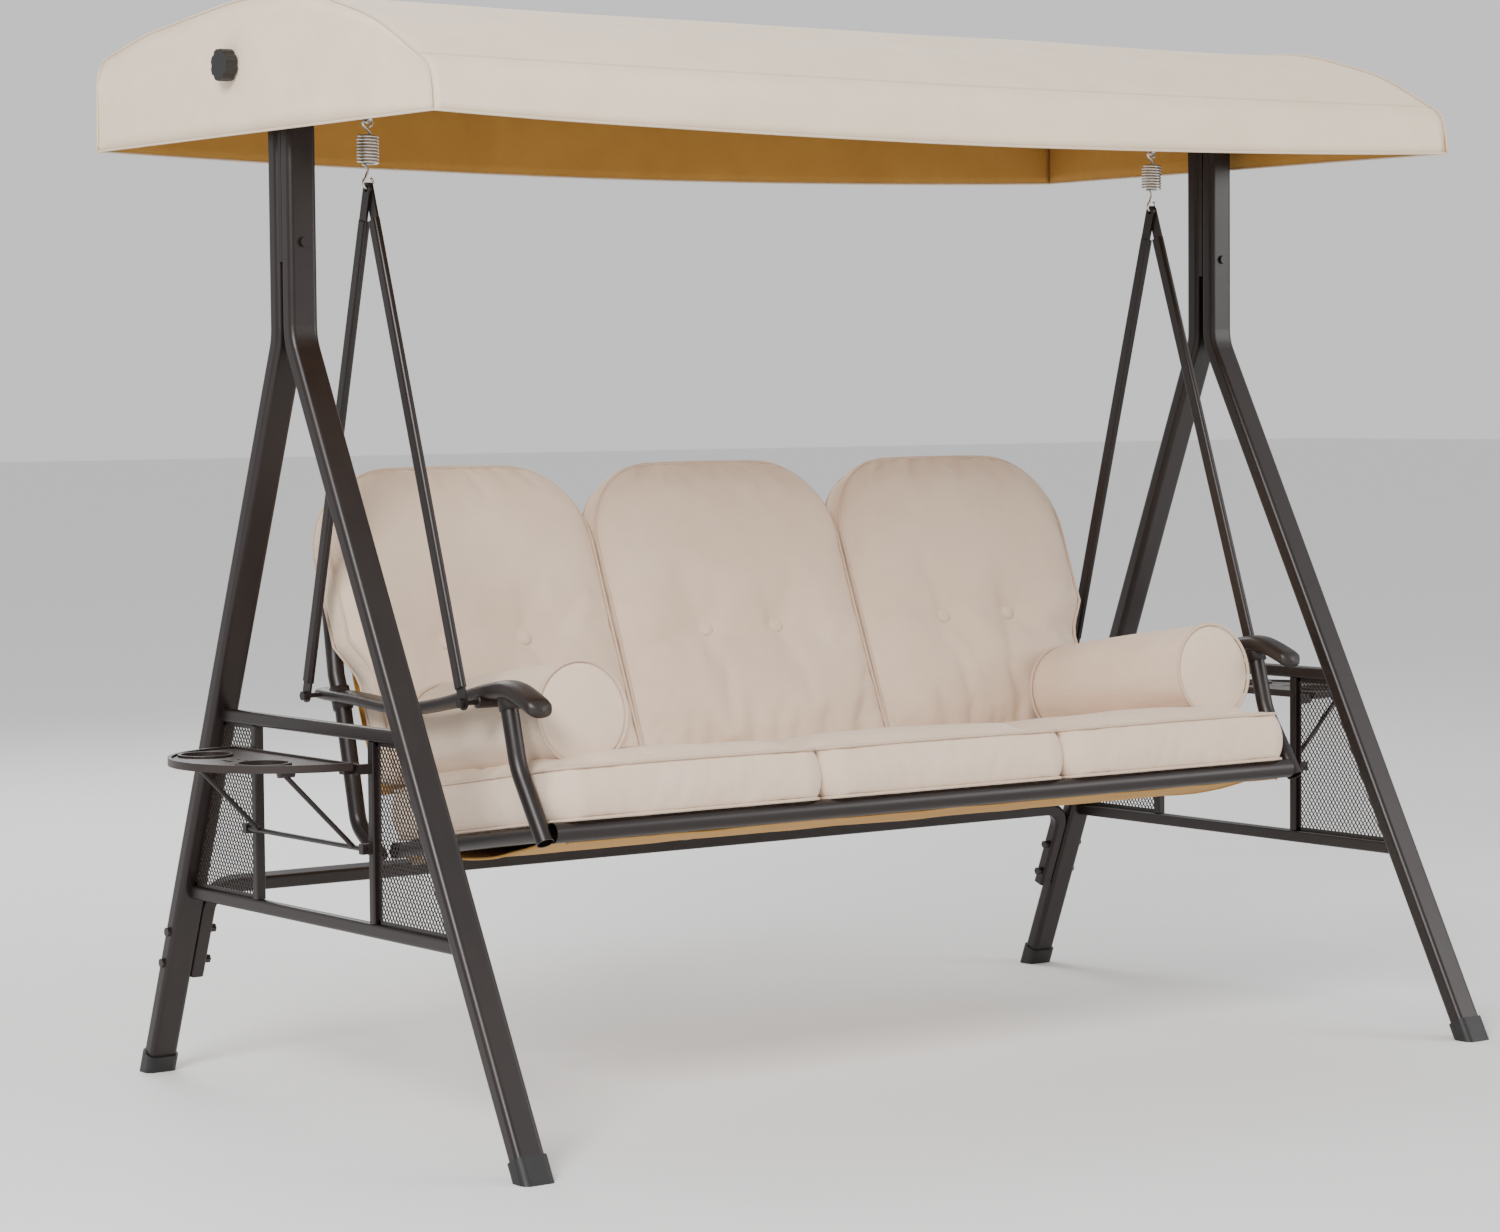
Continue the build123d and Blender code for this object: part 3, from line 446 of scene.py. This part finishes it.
def canopy_seams(points, profile, columns, half, low):
    """Welts along both end seams, the rolled hem and the seams where the valances start."""
    welts = []
    for column in (0, columns - 1):
        rim = [points[i * columns + column] + Vector((0, 0, 0.0006)) for i in range(len(profile))]
        welts.append(rim)
    for wanted in (-1, 1):
        index = min(
            range(len(profile)),
            key=lambda i: abs(profile[i].y - (low.z + 0.098 if wanted > 0 else low.z + 0.085))
            + (10 if profile[i].x * wanted < 0 else 0),
        )
        welts.append([points[index * columns + c] for c in range(columns)])
    place_piece(tubes_piece("canopy_welts", welts, 0.0020, [CANOPY_WELT], 8), "canopy", "canopy_fabric")
    hems = []
    for row in (0, len(profile) - 1):
        hems.append([points[row * columns + c] for c in range(columns)])
    for sx in (-1, 1):
        hems.append([Vector((sx * (half - 0.003), p.x, low.z)) for p in profile])
    place_piece(tubes_piece("canopy_hems", hems, 0.0020, [CANOPY_WELT], 8), "canopy", "canopy_fabric")


# --- cushions ----------------------------------------------------------------
class Place:
    """A tilted local frame: x across, y along the cushion, z out of its face."""

    def __init__(self, origin, y_axis, z_axis):
        self.origin, self.x = Vector(origin), Vector((1, 0, 0))
        self.y, self.z = Vector(y_axis), Vector(z_axis)

    def at(self, x, y, z):
        return self.origin + self.x * x + self.y * y + self.z * z


def soft_rise(distance, reach):
    """How far a stuffed face has risen at a distance in from its seam, from 0 to 1."""
    return 1 - exp(-max(0.0, distance) / reach)


def cushion_points(spec):
    """Front grid, back grid and side rings of a box cushion, in its own frame."""
    rows, columns = spec["rows"], spec["columns"]
    length, gusset = spec["length"], spec["gusset"]
    front, back = [], []
    for r in range(rows):
        t = r / (rows - 1)
        t = 0.5 - 0.5 * cos(pi * t) if spec["round"] > 0.05 else t
        for c in range(columns):
            s = -1 + 2 * c / (columns - 1)
            y = length * t
            left, right = spec["outline"](y)
            pinch = 1 - 0.014 * sin(pi * t)
            x = (left + right) / 2 + (right - left) / 2 * s * pinch
            y += spec["pull"] * (1 - s * s) * (abs(2 * t - 1) ** 6) * (1 if t < 0.5 else 0.5)
            edge = min((right - left) / 2 * (1 - abs(s)), y, length - y)
            rise = soft_rise(edge, 0.040)
            slope = 1 - 0.35 * ((2 * t - 1) ** 2) - 0.25 * s * s
            dimple = 0.0
            for bx, by in spec["buttons"]:
                gap, round_ = hypot(x - bx, y - by), atan2(y - by, x - bx)
                star = 0.0022 * sin(5 * round_ + bx * 40) * exp(-((gap - 0.045) / 0.030) ** 2)
                dimple += 0.017 * exp(-(gap / 0.024) ** 2) + 0.010 * exp(-(gap / 0.075) ** 2) + star
            seed = spec["seed"]
            crease = 0.0022 * noise.noise(Vector((x * 16, y * 9, seed))) * rise
            crease += 0.0040 * noise.noise(Vector((x * 5, y * 6, seed + 7))) * rise
            top = gusset / 2 + spec["crown"] * rise * slope - dimple * rise + crease
            under = gusset / 2 + spec["under"] * rise * slope
            front.append(Vector((x, y, spec["middle"] + top)))
            back.append(Vector((x, y, spec["middle"] - under)))
    return front, back


def rim_indices(rows, columns):
    """The boundary of a rows by columns grid, in order."""
    rim = [c for c in range(columns)]
    rim += [r * columns + columns - 1 for r in range(1, rows)]
    rim += [(rows - 1) * columns + c for c in range(columns - 2, -1, -1)]
    rim += [r * columns for r in range(rows - 2, 0, -1)]
    return rim


def cushion_mesh(name, spec):
    """A closed box cushion, in its own frame, and the two seam lines round it."""
    rows, columns = spec["rows"], spec["columns"]
    front, back = cushion_points(spec)
    points = front + back
    faces = grid_faces(rows, columns)
    faces += grid_faces(rows, columns, len(front), flip=True)
    rim = rim_indices(rows, columns)
    centre = sum((front[i] for i in rim), Vector()) / len(rim)
    walls = 4
    rings = [rim]
    for k in range(1, walls):
        t = k / walls
        ring = []
        for i in rim:
            p = front[i].lerp(back[i], t)
            out = Vector((p.x - centre.x, p.y - centre.y, 0)).normalized()
            ring.append(len(points))
            points.append(p + out * 0.006 * sin(pi * t))
        rings.append(ring)
    rings.append([i + len(front) for i in rim])
    for a, b in zip(rings, rings[1:]):
        for k in range(len(rim)):
            n = (k + 1) % len(rim)
            faces.append([a[n], a[k], b[k], b[n]])
    seams = [[points[i].copy() for i in ring] for ring in (rings[0], rings[-1])]
    return points, faces, seams, rings


def simulate(obj, pinned, pressure, grow, cap, frames=16):
    """Blow the cover up as cloth, with its seams and buttons held, and keep the result."""
    group = obj.vertex_groups.new(name="held")
    group.add(list(pinned), 1.0, "REPLACE")
    cloth = obj.modifiers.new("cloth", "CLOTH")
    cloth.settings.quality = 6
    cloth.settings.mass = 0.15
    cloth.settings.tension_stiffness = 18
    cloth.settings.compression_stiffness = 18
    cloth.settings.shear_stiffness = 6
    cloth.settings.bending_stiffness = 0.35
    cloth.settings.use_pressure = True
    cloth.settings.uniform_pressure_force = pressure
    cloth.settings.shrink_min = -grow
    cloth.settings.vertex_group_mass = "held"
    cloth.settings.effector_weights.gravity = 0
    cloth.collision_settings.use_collision = False
    cloth.point_cache.frame_start = 1
    cloth.point_cache.frame_end = frames
    start = [v.co.copy() for v in obj.data.vertices]
    for step in range(1, frames + 1):
        scene.frame_set(step)
    shaped = obj.evaluated_get(bpy.context.evaluated_depsgraph_get()).to_mesh()
    ends = [v.co.copy() for v in shaped.vertices]
    obj.modifiers.remove(cloth)
    obj.vertex_groups.remove(group)
    scene.frame_set(1)
    for vertex, before, after in zip(obj.data.vertices, start, ends):
        move = after - before
        if move.length > cap:
            move *= cap / move.length
        vertex.co = before + move
    obj.data.update()


def smooth_finish(obj):
    subdivided = obj.modifiers.new("smooth", "SUBSURF")
    subdivided.levels = 1
    subdivided.render_levels = 1


def button(place, x, y, z, start):
    """Points and faces of a covered button, a flattened dome with a tucked rim."""
    rings = ((0.0, 0.0065), (0.0070, 0.0058), (0.0120, 0.0036), (0.0145, 0.0005), (0.0140, -0.0040))
    points, faces = [], []
    sides = 20
    for radius, height in rings:
        for k in range(sides):
            turn = 2 * pi * k / sides
            points.append(place.at(x + radius * cos(turn), y + radius * sin(turn), z + height))
    faces += grid_faces(len(rings), sides, start, flip=True, wrap=True)
    return points, faces


def build_cushion(name, place, spec, node, puff):
    points, faces, seams, rings = cushion_mesh(name, spec)
    obj = new_piece(name, points, faces, [CUSHION])
    held = set(rings[0]) | set(rings[-1])
    for i, p in enumerate(points):
        tied = any(hypot(p.x - bx, p.y - by) < 0.016 for bx, by in spec["buttons"])
        if tied and p.z > spec["middle"]:
            held.add(i)
    simulate(obj, held, puff["pressure"], puff["grow"], puff["cap"])
    for vertex in obj.data.vertices:
        vertex.co = place.at(*vertex.co)
    obj.data.update()
    smooth_finish(obj)
    place_piece(obj, "bench", "cushion_fabric", node)
    lines = []
    for k, seam in enumerate(seams):
        lift = 0.0014 if k == 0 else -0.0014
        lines.append([place.at(p.x, p.y, p.z + lift) for p in seam])
    welt = tubes_piece(name + "_welt", lines, 0.0026, [THREAD], 8, closed=True)
    place_piece(welt, "bench", "cushion_fabric")
    if spec["buttons"]:
        face_tree = BVHTree.FromObject(obj, bpy.context.evaluated_depsgraph_get())
        points, faces = [], []
        for bx, by in spec["buttons"]:
            hit = face_tree.ray_cast(place.at(bx, by, 0.3), -place.z)[0]
            level = (hit - place.origin).dot(place.z)
            more, links = button(place, bx, by, level + 0.003, len(points))
            points += more
            faces += links
        buttons = new_piece(name + "_buttons", points, faces, [CUSHION])
        place_piece(buttons, "bench", "cushion_fabric")


def corner_inset(y, length, radius_low, radius_high):
    """How far a rounded outline has drawn in at a distance along the cushion."""
    for radius, gap in ((radius_low, y), (radius_high, length - y)):
        if gap < radius:
            return radius - sqrt(max(0.0, radius ** 2 - (radius - gap) ** 2))
    return 0.0


def seat_cushions():
    thick = 0.076
    for order, side in enumerate(("left", "centre", "right")):
        node = f"{side}_seat_cushion"
        low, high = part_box(node)
        depth = 0.508
        origin = ((low.x + high.x) / 2, low.y, high.z - thick * cos(SEAT_TILT))
        place = Place(origin, (0, cos(SEAT_TILT), -sin(SEAT_TILT)), (0, sin(SEAT_TILT), cos(SEAT_TILT)))
        half = (high.x - low.x) / 2

        def outline(y, half=half, depth=depth):
            inset = corner_inset(y, depth, 0.035, 0.030)
            return -half + inset, half - inset

        spec = dict(rows=44, columns=44, length=depth, gusset=0.076, crown=0.021, under=0.001,
                    middle=thick / 2, outline=outline, buttons=(), seed=3.1 * order, round=0.03, pull=0.004)
        build_cushion(f"{side}_seat_pad", place, spec, node, dict(pressure=2.6, grow=0.035, cap=0.012))


def back_cushions():
    thick, tall, bottom = 0.060, 0.527, 0.007
    for order, side in enumerate(("left", "centre", "right")):
        node = f"{side}_back_cushion"
        low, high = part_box(node)
        run = bottom + tall
        origin = (
            0,
            high.y - run * sin(BACK_TILT),
            high.z - run * cos(BACK_TILT) - thick * sin(BACK_TILT),
        )
        place = Place(origin, (0, sin(BACK_TILT), cos(BACK_TILT)), (0, -cos(BACK_TILT), sin(BACK_TILT)))
        place.origin = place.at(0, bottom, 0)
        outer = min(abs(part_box("left_armrest")[1].x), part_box("right_armrest")[0].x) - 0.004

        def outline(y, left=low.x, right=high.x, outer=outer, tall=tall):
            widen = min(1.0, max(0.0, (y - 0.165) / 0.105))
            widen = widen * widen * (3 - 2 * widen)
            limit = outer + (0.8 - outer) * widen
            inset = corner_inset(y, tall, 0.02, 0.150)
            return max(left, -limit) + inset, min(right, limit) - inset

        middle_x = (low.x + high.x) / 2
        buttons = ((middle_x - 0.075, 0.221), (middle_x + 0.075, 0.221))
        spec = dict(rows=48, columns=46, length=tall, gusset=0.046, crown=0.024, under=0.004,
                    middle=thick / 2 - 0.002, outline=outline, buttons=buttons,
                    seed=20 + 5.3 * order, round=0.15, pull=0.003)
        build_cushion(f"{side}_back_pad", place, spec, node, dict(pressure=2.6, grow=0.035, cap=0.012))


def bolsters():
    for side, sx in SIDES:
        node = f"{side}_bolster"
        low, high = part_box(node)
        radius, length = BOLSTER_R, BOLSTER_LONG
        centre = Vector(((low.x + high.x) / 2, (low.y + high.y) / 2, (low.z + high.z) / 2))
        along = Vector((0, cos(SEAT_TILT), -sin(SEAT_TILT)))
        across, up = Vector((1, 0, 0)), Vector((0, sin(SEAT_TILT), cos(SEAT_TILT)))
        sides, points = 64, []
        dish = ((0.0, 0.008), (0.25, 0.0075), (0.5, 0.006), (0.75, 0.0035), (0.93, 0.001), (1.0, 0.0))
        front_end = [(radius * share, -length / 2 - bulge) for share, bulge in dish]
        steps = [k / 22 for k in range(1, 22)]
        body = [(radius + 0.003 * sin(pi * t), -length / 2 + length * t) for t in steps]
        rear_end = [(radius * share, length / 2 + bulge) for share, bulge in reversed(dish)]
        rings = front_end + body + rear_end
        for ring, at in rings:
            for k in range(sides):
                turn = 2 * pi * k / sides
                direction = across * cos(turn) + up * sin(turn)
                wobble = 0.0
                if abs(at) < length / 2 - 0.002:
                    fade = min(1.0, (length / 2 - abs(at)) / 0.05)
                    wobble = 0.0035 * noise.noise(direction * 2.3 + Vector((sx * 3, at * 5, 0)))
                    wobble += 0.0016 * noise.noise(direction * 9 + Vector((sx * 5, at * 7, 2))) * (2 - fade)
                rest = 0.004 if sin(turn) < -0.93 else 0.0
                points.append(centre + along * at + direction * max(0.0, ring + wobble - rest))
        faces = grid_faces(len(rings), sides, wrap=True, flip=True)
        roll = new_piece(f"{side}_bolster_roll", points, faces, [CUSHION])
        ends = len(front_end)
        held = set(range((ends - 1) * sides, ends * sides))
        held |= set(range((ends + len(body)) * sides, (ends + len(body) + 1) * sides))
        simulate(roll, held, 2.0, 0.03, 0.006, frames=12)
        smooth_finish(roll)
        place_piece(roll, "bench", "cushion_fabric", node)
        rims = []
        for end in (-1, 1):
            rims.append([
                centre + along * end * (length / 2 + 0.001)
                + (across * cos(2 * pi * k / sides) + up * sin(2 * pi * k / sides)) * (radius + 0.001)
                for k in range(sides)
            ])
        welt = tubes_piece(f"{side}_bolster_welt", rims, 0.0028, [THREAD], 8, closed=True)
        place_piece(welt, "bench", "cushion_fabric")


# --- slings and straps -------------------------------------------------------
def sling(name, path, half, node):
    """A slack fabric panel swept across the bench, with hems at its sides."""
    profile, length = resample(path, 0.016)
    columns = 61
    points = []
    for p in profile:
        for c in range(columns):
            s = -1 + 2 * c / (columns - 1)
            ripple = 0.0018 * noise.noise(Vector((s * 9, p.x * 14, p.y * 14)))
            points.append(Vector((half * s, p.x, p.y + ripple)))
    # Cloth and hems in the darker golden cloth: painted shade for a sling lying under the cushions.
    cloth = new_piece(name, points, grid_faces(len(profile), columns, flip=True), [GOLDEN_SHADE_CLOTH, GOLDEN_SHADE_CLOTH])
    thicken(cloth, CLOTH_THICK)
    place_piece(cloth, "bench", "sling_fabric", node)
    edges = [[points[i * columns + c] for i in range(len(profile))] for c in (0, columns - 1)]
    hem = tubes_piece(name + "_hem", edges, 0.0022, [GOLDEN_SHADE_CLOTH], 8)
    place_piece(hem, "bench", "sling_fabric")


def wrap(centre, radius, start, end, steps=10):
    """Points round a rail from one angle to another, in degrees from +Y towards +Z."""
    angles = [radians(start + (end - start) * k / steps) for k in range(steps + 1)]
    return [Vector((centre[0] + radius * cos(a), centre[1] + radius * sin(a))) for a in angles]


def rail_centre(node):
    low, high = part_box(node)
    return (low.y + high.y) / 2, (low.z + high.z) / 2, (high.z - low.z) / 2


def slings():
    fy, fz, fr = rail_centre("seat_front_rail")
    ry, rz, rr = rail_centre("seat_rear_rail")
    lap = 0.0016
    front = wrap((fy, fz), fr + lap, -95, -20)
    rear = wrap((ry, rz), rr + lap, 170, 275)
    middle = []
    for k in range(1, 20):
        t = k / 20
        p = front[-1].lerp(rear[0], t)
        middle.append(Vector((p.x, p.y - 0.026 * sin(pi * t))))
    sling("seat_sling_cloth", front + middle + rear, 0.738, "seat_sling")
    ty, tz, tr = rail_centre("back_top_rail")
    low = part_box("back_sling")[0]
    top = wrap((ty, tz), tr + lap, 20, 190)
    drop = Vector((low.y + 0.030, low.z + 0.006))
    path = list(top)
    for k in range(1, 24):
        t = k / 24
        p = top[-1].lerp(drop, t)
        path.append(Vector((p.x + 0.022 * sin(pi * t), p.y)))
    path.append(drop)
    sling("back_sling_cloth", path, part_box("back_sling")[1].x - 0.001, "back_sling")


def straps():
    """Flat tie straps, each looped round the rear rail with a short hanging tail."""
    ry, rz, rr = rail_centre("seat_rear_rail")
    low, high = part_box("cushion_straps")
    seam = 0.757 / 3
    centres = (low.x + 0.012, -seam - 0.066, -seam + 0.066, seam - 0.066, seam + 0.066, high.x - 0.012)
    points, faces = [], []
    for order, x in enumerate(centres):
        loop = wrap((ry, rz), rr + 0.0022, 60, 300, 20)
        tail = [loop[-1] + Vector((0.001 * k, -0.0045 * k)) for k in range(1, 4)]
        path = loop + tail
        start = len(points)
        for i, p in enumerate(path):
            lean = 0.003 * sin(order * 2.1 + i * 0.2)
            for dx, lift in ((-0.012, 0), (0, 0.0006), (0.012, 0)):
                points.append(Vector((x + dx + lean, p.x, p.y - lift)))
        faces += grid_faces(len(path), 3, start)
    strap = new_piece("cushion_tie_straps", points, faces, [WEBBING])
    solid = strap.modifiers.new("thickness", "SOLIDIFY")
    solid.thickness = 0.0014
    place_piece(strap, "bench", "strap_webbing", "cushion_straps")


# --- springs -----------------------------------------------------------------
def springs():
    """Close-wound coils with a hook at each end."""
    for side, _ in SIDES:
        low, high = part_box(f"{side}_spring")
        x, y = (low.x + high.x) / 2, (low.y + high.y) / 2
        coil_r = (high.x - low.x) / 2 - SPRING_WIRE
        top_hook, low_hook = high.z - SPRING_WIRE, low.z + SPRING_WIRE
        path = []
        for k in range(13):
            a = radians(-60 + 300 * k / 12)
            path.append(Vector((x + HOOK_R * cos(a), y, top_hook - HOOK_R + HOOK_R * sin(a))))
        path.append(Vector((x, y, COIL_HIGH + 0.008)))
        steps = int(COIL_TURNS * 18)
        for k in range(steps + 1):
            a = 2 * pi * k / 18
            grow = min(1.0, k / 9, (steps - k) / 9)
            radius = coil_r * (0.35 + 0.65 * grow)
            z = COIL_HIGH + (COIL_LOW - COIL_HIGH) * k / steps
            path.append(Vector((x + radius * cos(a), y + radius * sin(a), z)))
        path.append(Vector((x, y, COIL_LOW - 0.008)))
        for k in range(13):
            a = radians(120 + 300 * k / 12)
            path.append(Vector((x + HOOK_R * cos(a), y, low_hook + HOOK_R + HOOK_R * sin(a))))
        coil = tubes_piece(f"{side}_coil_spring", [path], SPRING_WIRE, [ZINC], 10)
        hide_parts(f"{side}_spring")
        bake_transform(coil)


# --- arms --------------------------------------------------------------------
def spline_at(u, a, b, c, d):
    """Value between b and c of a smooth curve through a, b, c and d."""
    square, cube = (2 * a - 5 * b + 4 * c - d) * u * u, (3 * b - a - 3 * c + d) * u ** 3
    return 0.5 * (2 * b + (c - a) * u + square + cube)


def arms():
    """Moulded arms lofted along the CAD arm's line, broad and rounded, the tip turned down."""
    line = (
        (0.330, 0.650), (0.200, 0.646), (0.065, 0.640), (-0.060, 0.656),
        (-0.200, 0.686), (-0.262, 0.690), (-0.336, 0.664),
    )
    for side, sx in SIDES:
        x = sx * ARM_X
        rows, sides, points = 46, 24, []
        for r in range(rows):
            t = r / (rows - 1)
            f = t * (len(line) - 1)
            i = min(int(f), len(line) - 2)
            p0, p1 = line[max(i - 1, 0)], line[i]
            p2, p3 = line[i + 1], line[min(i + 2, len(line) - 1)]
            u = f - i
            y, z = (
                spline_at(u, *four) for four in zip(p0, p1, p2, p3)
            )
            from_end = min(t, 1 - t)
            cap = sqrt(max(0.0, 1 - (1 - from_end / 0.035) ** 2)) if from_end < 0.035 else 1.0
            wide = (0.0215 + 0.0015 * sin(pi * t)) * max(cap, 0.05)
            depth = 0.0090 + 0.0035 * min(1.0, max(0.0, (t - 0.5) * 4))
            deep = depth * max(cap, 0.05)
            for k in range(sides):
                a = 2 * pi * k / sides
                cx, cz = cos(a), sin(a)
                shape = (abs(cx) ** 3.2 + abs(cz) ** 3.2) ** (-1 / 3.2)
                crown = 0.0015 * (1 - cx * cx) if cz > 0 else -0.002 * (1 - abs(cx))
                level = z - depth + deep * cz * shape + crown * cap
                points.append(Vector((x + wide * cx * shape, y, level)))
        faces = grid_faces(rows, sides, wrap=True, flip=True)
        faces.append(list(range(sides)))
        faces.append([(rows - 1) * sides + k for k in reversed(range(sides))])
        arm = new_piece(f"{side}_arm_moulding", points, faces, [ARM])
        place_piece(arm, "bench", "arm_plastic", f"{side}_armrest")
        post_collar = [Vector((x, -0.2440, 0.648)), Vector((x, -0.2385, 0.664)), Vector((x, -0.236, 0.676))]
        rear_collar = [Vector((x, 0.2610, 0.618)), Vector((x, 0.2665, 0.632)), Vector((x, 0.2745, 0.652))]
        collars = tubes_piece(f"{side}_arm_sockets", [post_collar, rear_collar], 0.0168, [ARM], 24)
        place_piece(collars, "bench", "arm_plastic")
        boss_path = [Vector((x + sx * 0.0005 * k, -0.184, 0.658)) for k in (-44, -43, 0, 43, 44)]
        boss = tubes_piece(f"{side}_arm_hanger_boss", [boss_path], 0.0105, [ARM], 24)
        place_piece(boss, "bench", "arm_plastic")


# --- side panels -------------------------------------------------------------
def clip_line(point, direction, corners):
    """Part of a line inside a convex polygon whose corners run anticlockwise, or None."""
    start, end = -10.0, 10.0
    for a, b in zip(corners, corners[1:] + corners[:1]):
        edge = Vector((b[0] - a[0], b[1] - a[1]))
        inward = Vector((-edge.y, edge.x)).normalized()
        offset = inward.dot(point - Vector(a))
        rate = inward.dot(direction)
        if abs(rate) < 1e-9:
            if offset < 0:
                return None
            continue
        at = -offset / rate
        if rate > 0:
            start = max(start, at)
        else:
            end = min(end, at)
    return (start, end) if end - start > 0.002 else None


def strip(points, faces, a, b, wide, thick, x):
    """A thin flat strand between two points of the YZ plane."""
    along = (b - a).normalized()
    across = Vector((-along.y, along.x)) * wide / 2
    base = len(points)
    for dx in (-thick / 2, thick / 2):
        for p in (a - across, a + across, b + across, b - across):
            points.append(Vector((x + dx, p.x, p.y)))
    for quad in ((3, 2, 1, 0), (4, 5, 6, 7), (0, 1, 5, 4), (1, 2, 6, 5), (2, 3, 7, 6), (3, 0, 4, 7)):
        faces.append([base + q for q in quad])


def panels():
    """Expanded-metal lattices in the four side panels, each in a thin flanged frame."""
    pitch = Vector((0.0092, 0.0125))
    for side, sx in SIDES:
        low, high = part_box(f"{side}_mesh_panels")
        x = (low.x + high.x) / 2
        bottom, top = low.z, high.z
        tall = top - bottom
        points, faces = [], []
        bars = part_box(f"{side}_side_bars")
        front_top = low.y + tall * (POST_Y_LOW - FRONT_FOOT_Y) / BEND_Z
        rear_top = high.y - tall * (REAR_FOOT_Y - POST_Y_HIGH) / BEND_Z
        front_bar, rear_bar = bars[0].y, bars[1].y
        shapes = (
            [(low.y, bottom), (front_bar, bottom), (front_bar, top), (front_top, top)],
            [(rear_bar, bottom), (high.y, bottom), (rear_top, top), (rear_bar, top)],
        )
        for corners in shapes:
            for slope in (1, -1):
                direction = Vector((pitch.x, slope * pitch.y)).normalized()
                width = corners[1][0] - corners[0][0]
                reach = tall * pitch.x / pitch.y
                count = int((width + 2 * reach) / pitch.x) + 2
                for k in range(count):
                    point = Vector((corners[0][0] - reach + k * pitch.x, bottom))
                    if slope < 0:
                        point = Vector((corners[0][0] + k * pitch.x, bottom))
                    found = clip_line(point, direction, corners)
                    if found:
                        a, b = point + direction * found[0], point + direction * found[1]
                        strip(points, faces, a, b, 0.0015, 0.0012 + 0.0004 * slope, x)
            for a, b in zip(corners, corners[1:] + corners[:1]):
                strip(points, faces, Vector(a), Vector(b), 0.012, 0.0022, x)
        lattice = new_piece(f"{side}_mesh_lattice", points, faces, [BRONZE], smooth=False)
        place_piece(lattice, "frame", "mesh_steel", f"{side}_mesh_panels")


def tray_stops():
    """Small moulded stops under each tray, where the brace arms bear."""
    for side, sx in SIDES:
        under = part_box(f"{side}_tray_brace")[1].z
        paths = [
            [Vector((sx * (1.1005 + 0.001 * k), y, under + 0.0015)) for k in (-13, -12, 0, 12, 13)]
            for y in (-0.120, 0.175)
        ]
        stops = tubes_piece(f"{side}_tray_stops", paths, 0.0062, [TRAY], 16)
        place_piece(stops, f"{side}_tray", "tray_plastic")


def floor():
    size = 60.0
    corners = [(-size, -size, 0), (size, -size, 0), (size, size, 0), (-size, size, 0)]
    plane = new_piece("studio_floor", corners, [[0, 1, 2, 3]], [floor_material()], smooth=False)


add_camera()
add_studio()
floor()
dress_frame()
canopy()
seat_cushions()
back_cushions()
bolsters()
slings()
straps()
springs()
arms()
panels()
tray_stops()
